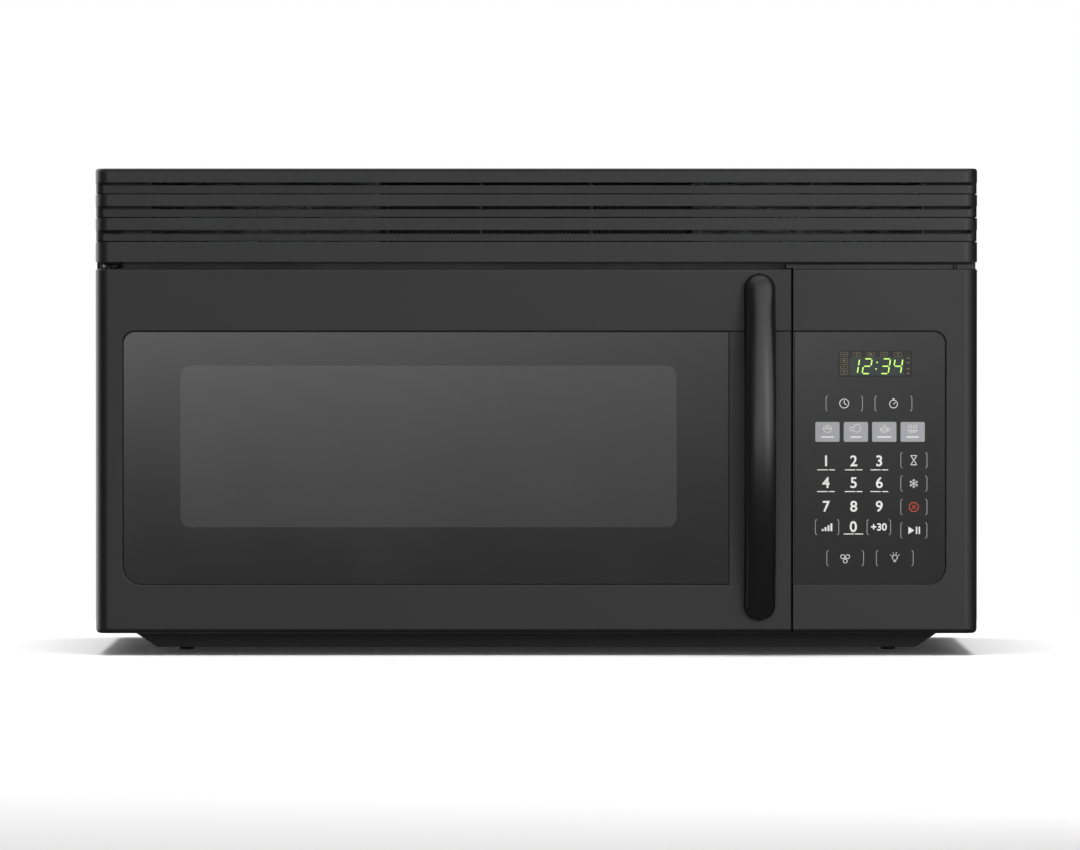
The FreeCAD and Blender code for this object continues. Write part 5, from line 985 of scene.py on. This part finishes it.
floor = stage_plane("studio_floor", -3.0, 3.0, -3.2, 0.6, 0.0)
floor.data.materials.append(studio_paper("seamless_paper", "#ffffff", "#fcfcfc"))
floor.visible_glossy = False


# ---- Light ----------------------------------------------------------------------------------
# A broad lamp overhead and a strip at the right stand in a white tent. The tent mirrors
# brightest in front and above and is dark low down, so black plastic reads as charcoal.

def area_light(name, place, aim, width, height, power):
    """A rectangular studio lamp aimed at a point."""
    data = bpy.data.lights.new(name, "AREA")
    data.shape = "RECTANGLE"
    data.size = width
    data.size_y = height
    data.energy = power
    lamp = bpy.data.objects.new(name, data)
    lamp.location = place
    lamp.rotation_euler = (Vector(aim) - Vector(place)).to_track_quat("-Z", "Y").to_euler()
    bpy.context.scene.collection.objects.link(lamp)
    return lamp


top_box = area_light("top_box", (0.0, -0.1, 2.6), (0.0, 0.0, 0.0), 2.4, 1.8, 100.0)
top_box.visible_glossy = False
area_light("right_strip", (1.0, -2.4, 0.7), (0.2, -0.2, 0.2), 0.6, 1.4, 6.5)


def tent_panel(tree, turn, rise, sides, levels, level):
    """Light of one panel of the tent: its two edges and their softness, in degrees."""
    total = level
    for angle, (low, high, soft) in ((turn, sides), (rise, levels)):
        for start, stop in ((low - soft, low + soft), (high + soft, high - soft)):
            share = add(tree, "MapRange", {0: angle, 1: math.radians(start),
                                           2: math.radians(stop)},
                        interpolation_type="SMOOTHSTEP")
            total = add(tree, "Math", {0: total, 1: share.outputs[0]},
                        operation="MULTIPLY").outputs[0]
    return total


world = bpy.data.worlds.new("studio")
world.use_nodes = True
bpy.context.scene.world = world
sky = world.node_tree
sky.nodes.clear()
ray = add(sky, "LightPath")
part = add(sky, "SeparateXYZ", {0: add(sky, "TexCoord").outputs["Generated"]})
toward = add(sky, "Math", {0: part.outputs["Y"], 1: -1.0}, operation="MULTIPLY")
turn = add(sky, "Math", {0: part.outputs["X"], 1: toward.outputs[0]},
           operation="ARCTAN2").outputs[0]
rise = add(sky, "Math", {0: part.outputs["Z"]}, operation="ARCSINE").outputs[0]
slope = add(sky, "MapRange", {0: turn, 1: math.radians(-3.0), 2: math.radians(3.0), 3: 3.9,
                              4: 0.4})
glow = 0.08
for panel in (((-9, 48, 5), (-6, 4, 4), 0.4), ((-8, 66, 7), (1, 62, 3), 1.55),
              ((-200, 200, 5), (66, 100, 5), 1.1), ((-178, -95, 6), (-20, 50, 6), 2.8),
              ((-12, 12, 4), (-0.25, 3.0, 1.75), slope.outputs[0])):
    glow = add(sky, "Math", {0: glow, 1: tent_panel(sky, turn, rise, *panel)},
               operation="ADD").outputs[0]
mirrored = add(sky, "Background", {"Color": glow, "Strength": 1.0})
fill = add(sky, "Background", {"Color": (1.0, 1.0, 1.0, 1.0), "Strength": 0.45})
white = add(sky, "Background", {"Color": (1.0, 1.0, 1.0, 1.0), "Strength": 1.0})
inner = add(sky, "MixShader", {0: ray.outputs["Is Glossy Ray"], 1: fill.outputs[0],
                               2: mirrored.outputs[0]})
either = add(sky, "MixShader", {0: ray.outputs["Is Camera Ray"], 1: inner.outputs[0],
                                2: white.outputs[0]})
add(sky, "OutputWorld", {"Surface": either.outputs[0]})


# ---- Camera ---------------------------------------------------------------------------------
# A long lens at the photograph's place: nearly eight metres off and a little above the top.

lens = bpy.data.cameras.new("camera")
lens.lens = 306.6
lens.sensor_width = 36.0
lens.clip_end = 50.0
camera = bpy.data.objects.new("camera", lens)
camera.location = (0.0032, -8.083, 0.333)
aim = Vector((0.0032, -0.173, 0.1984))
camera.rotation_euler = (aim - camera.location).to_track_quat("-Z", "Y").to_euler()
bpy.context.scene.collection.objects.link(camera)
bpy.context.scene.camera = camera
bpy.context.scene.view_settings.view_transform = "Standard"
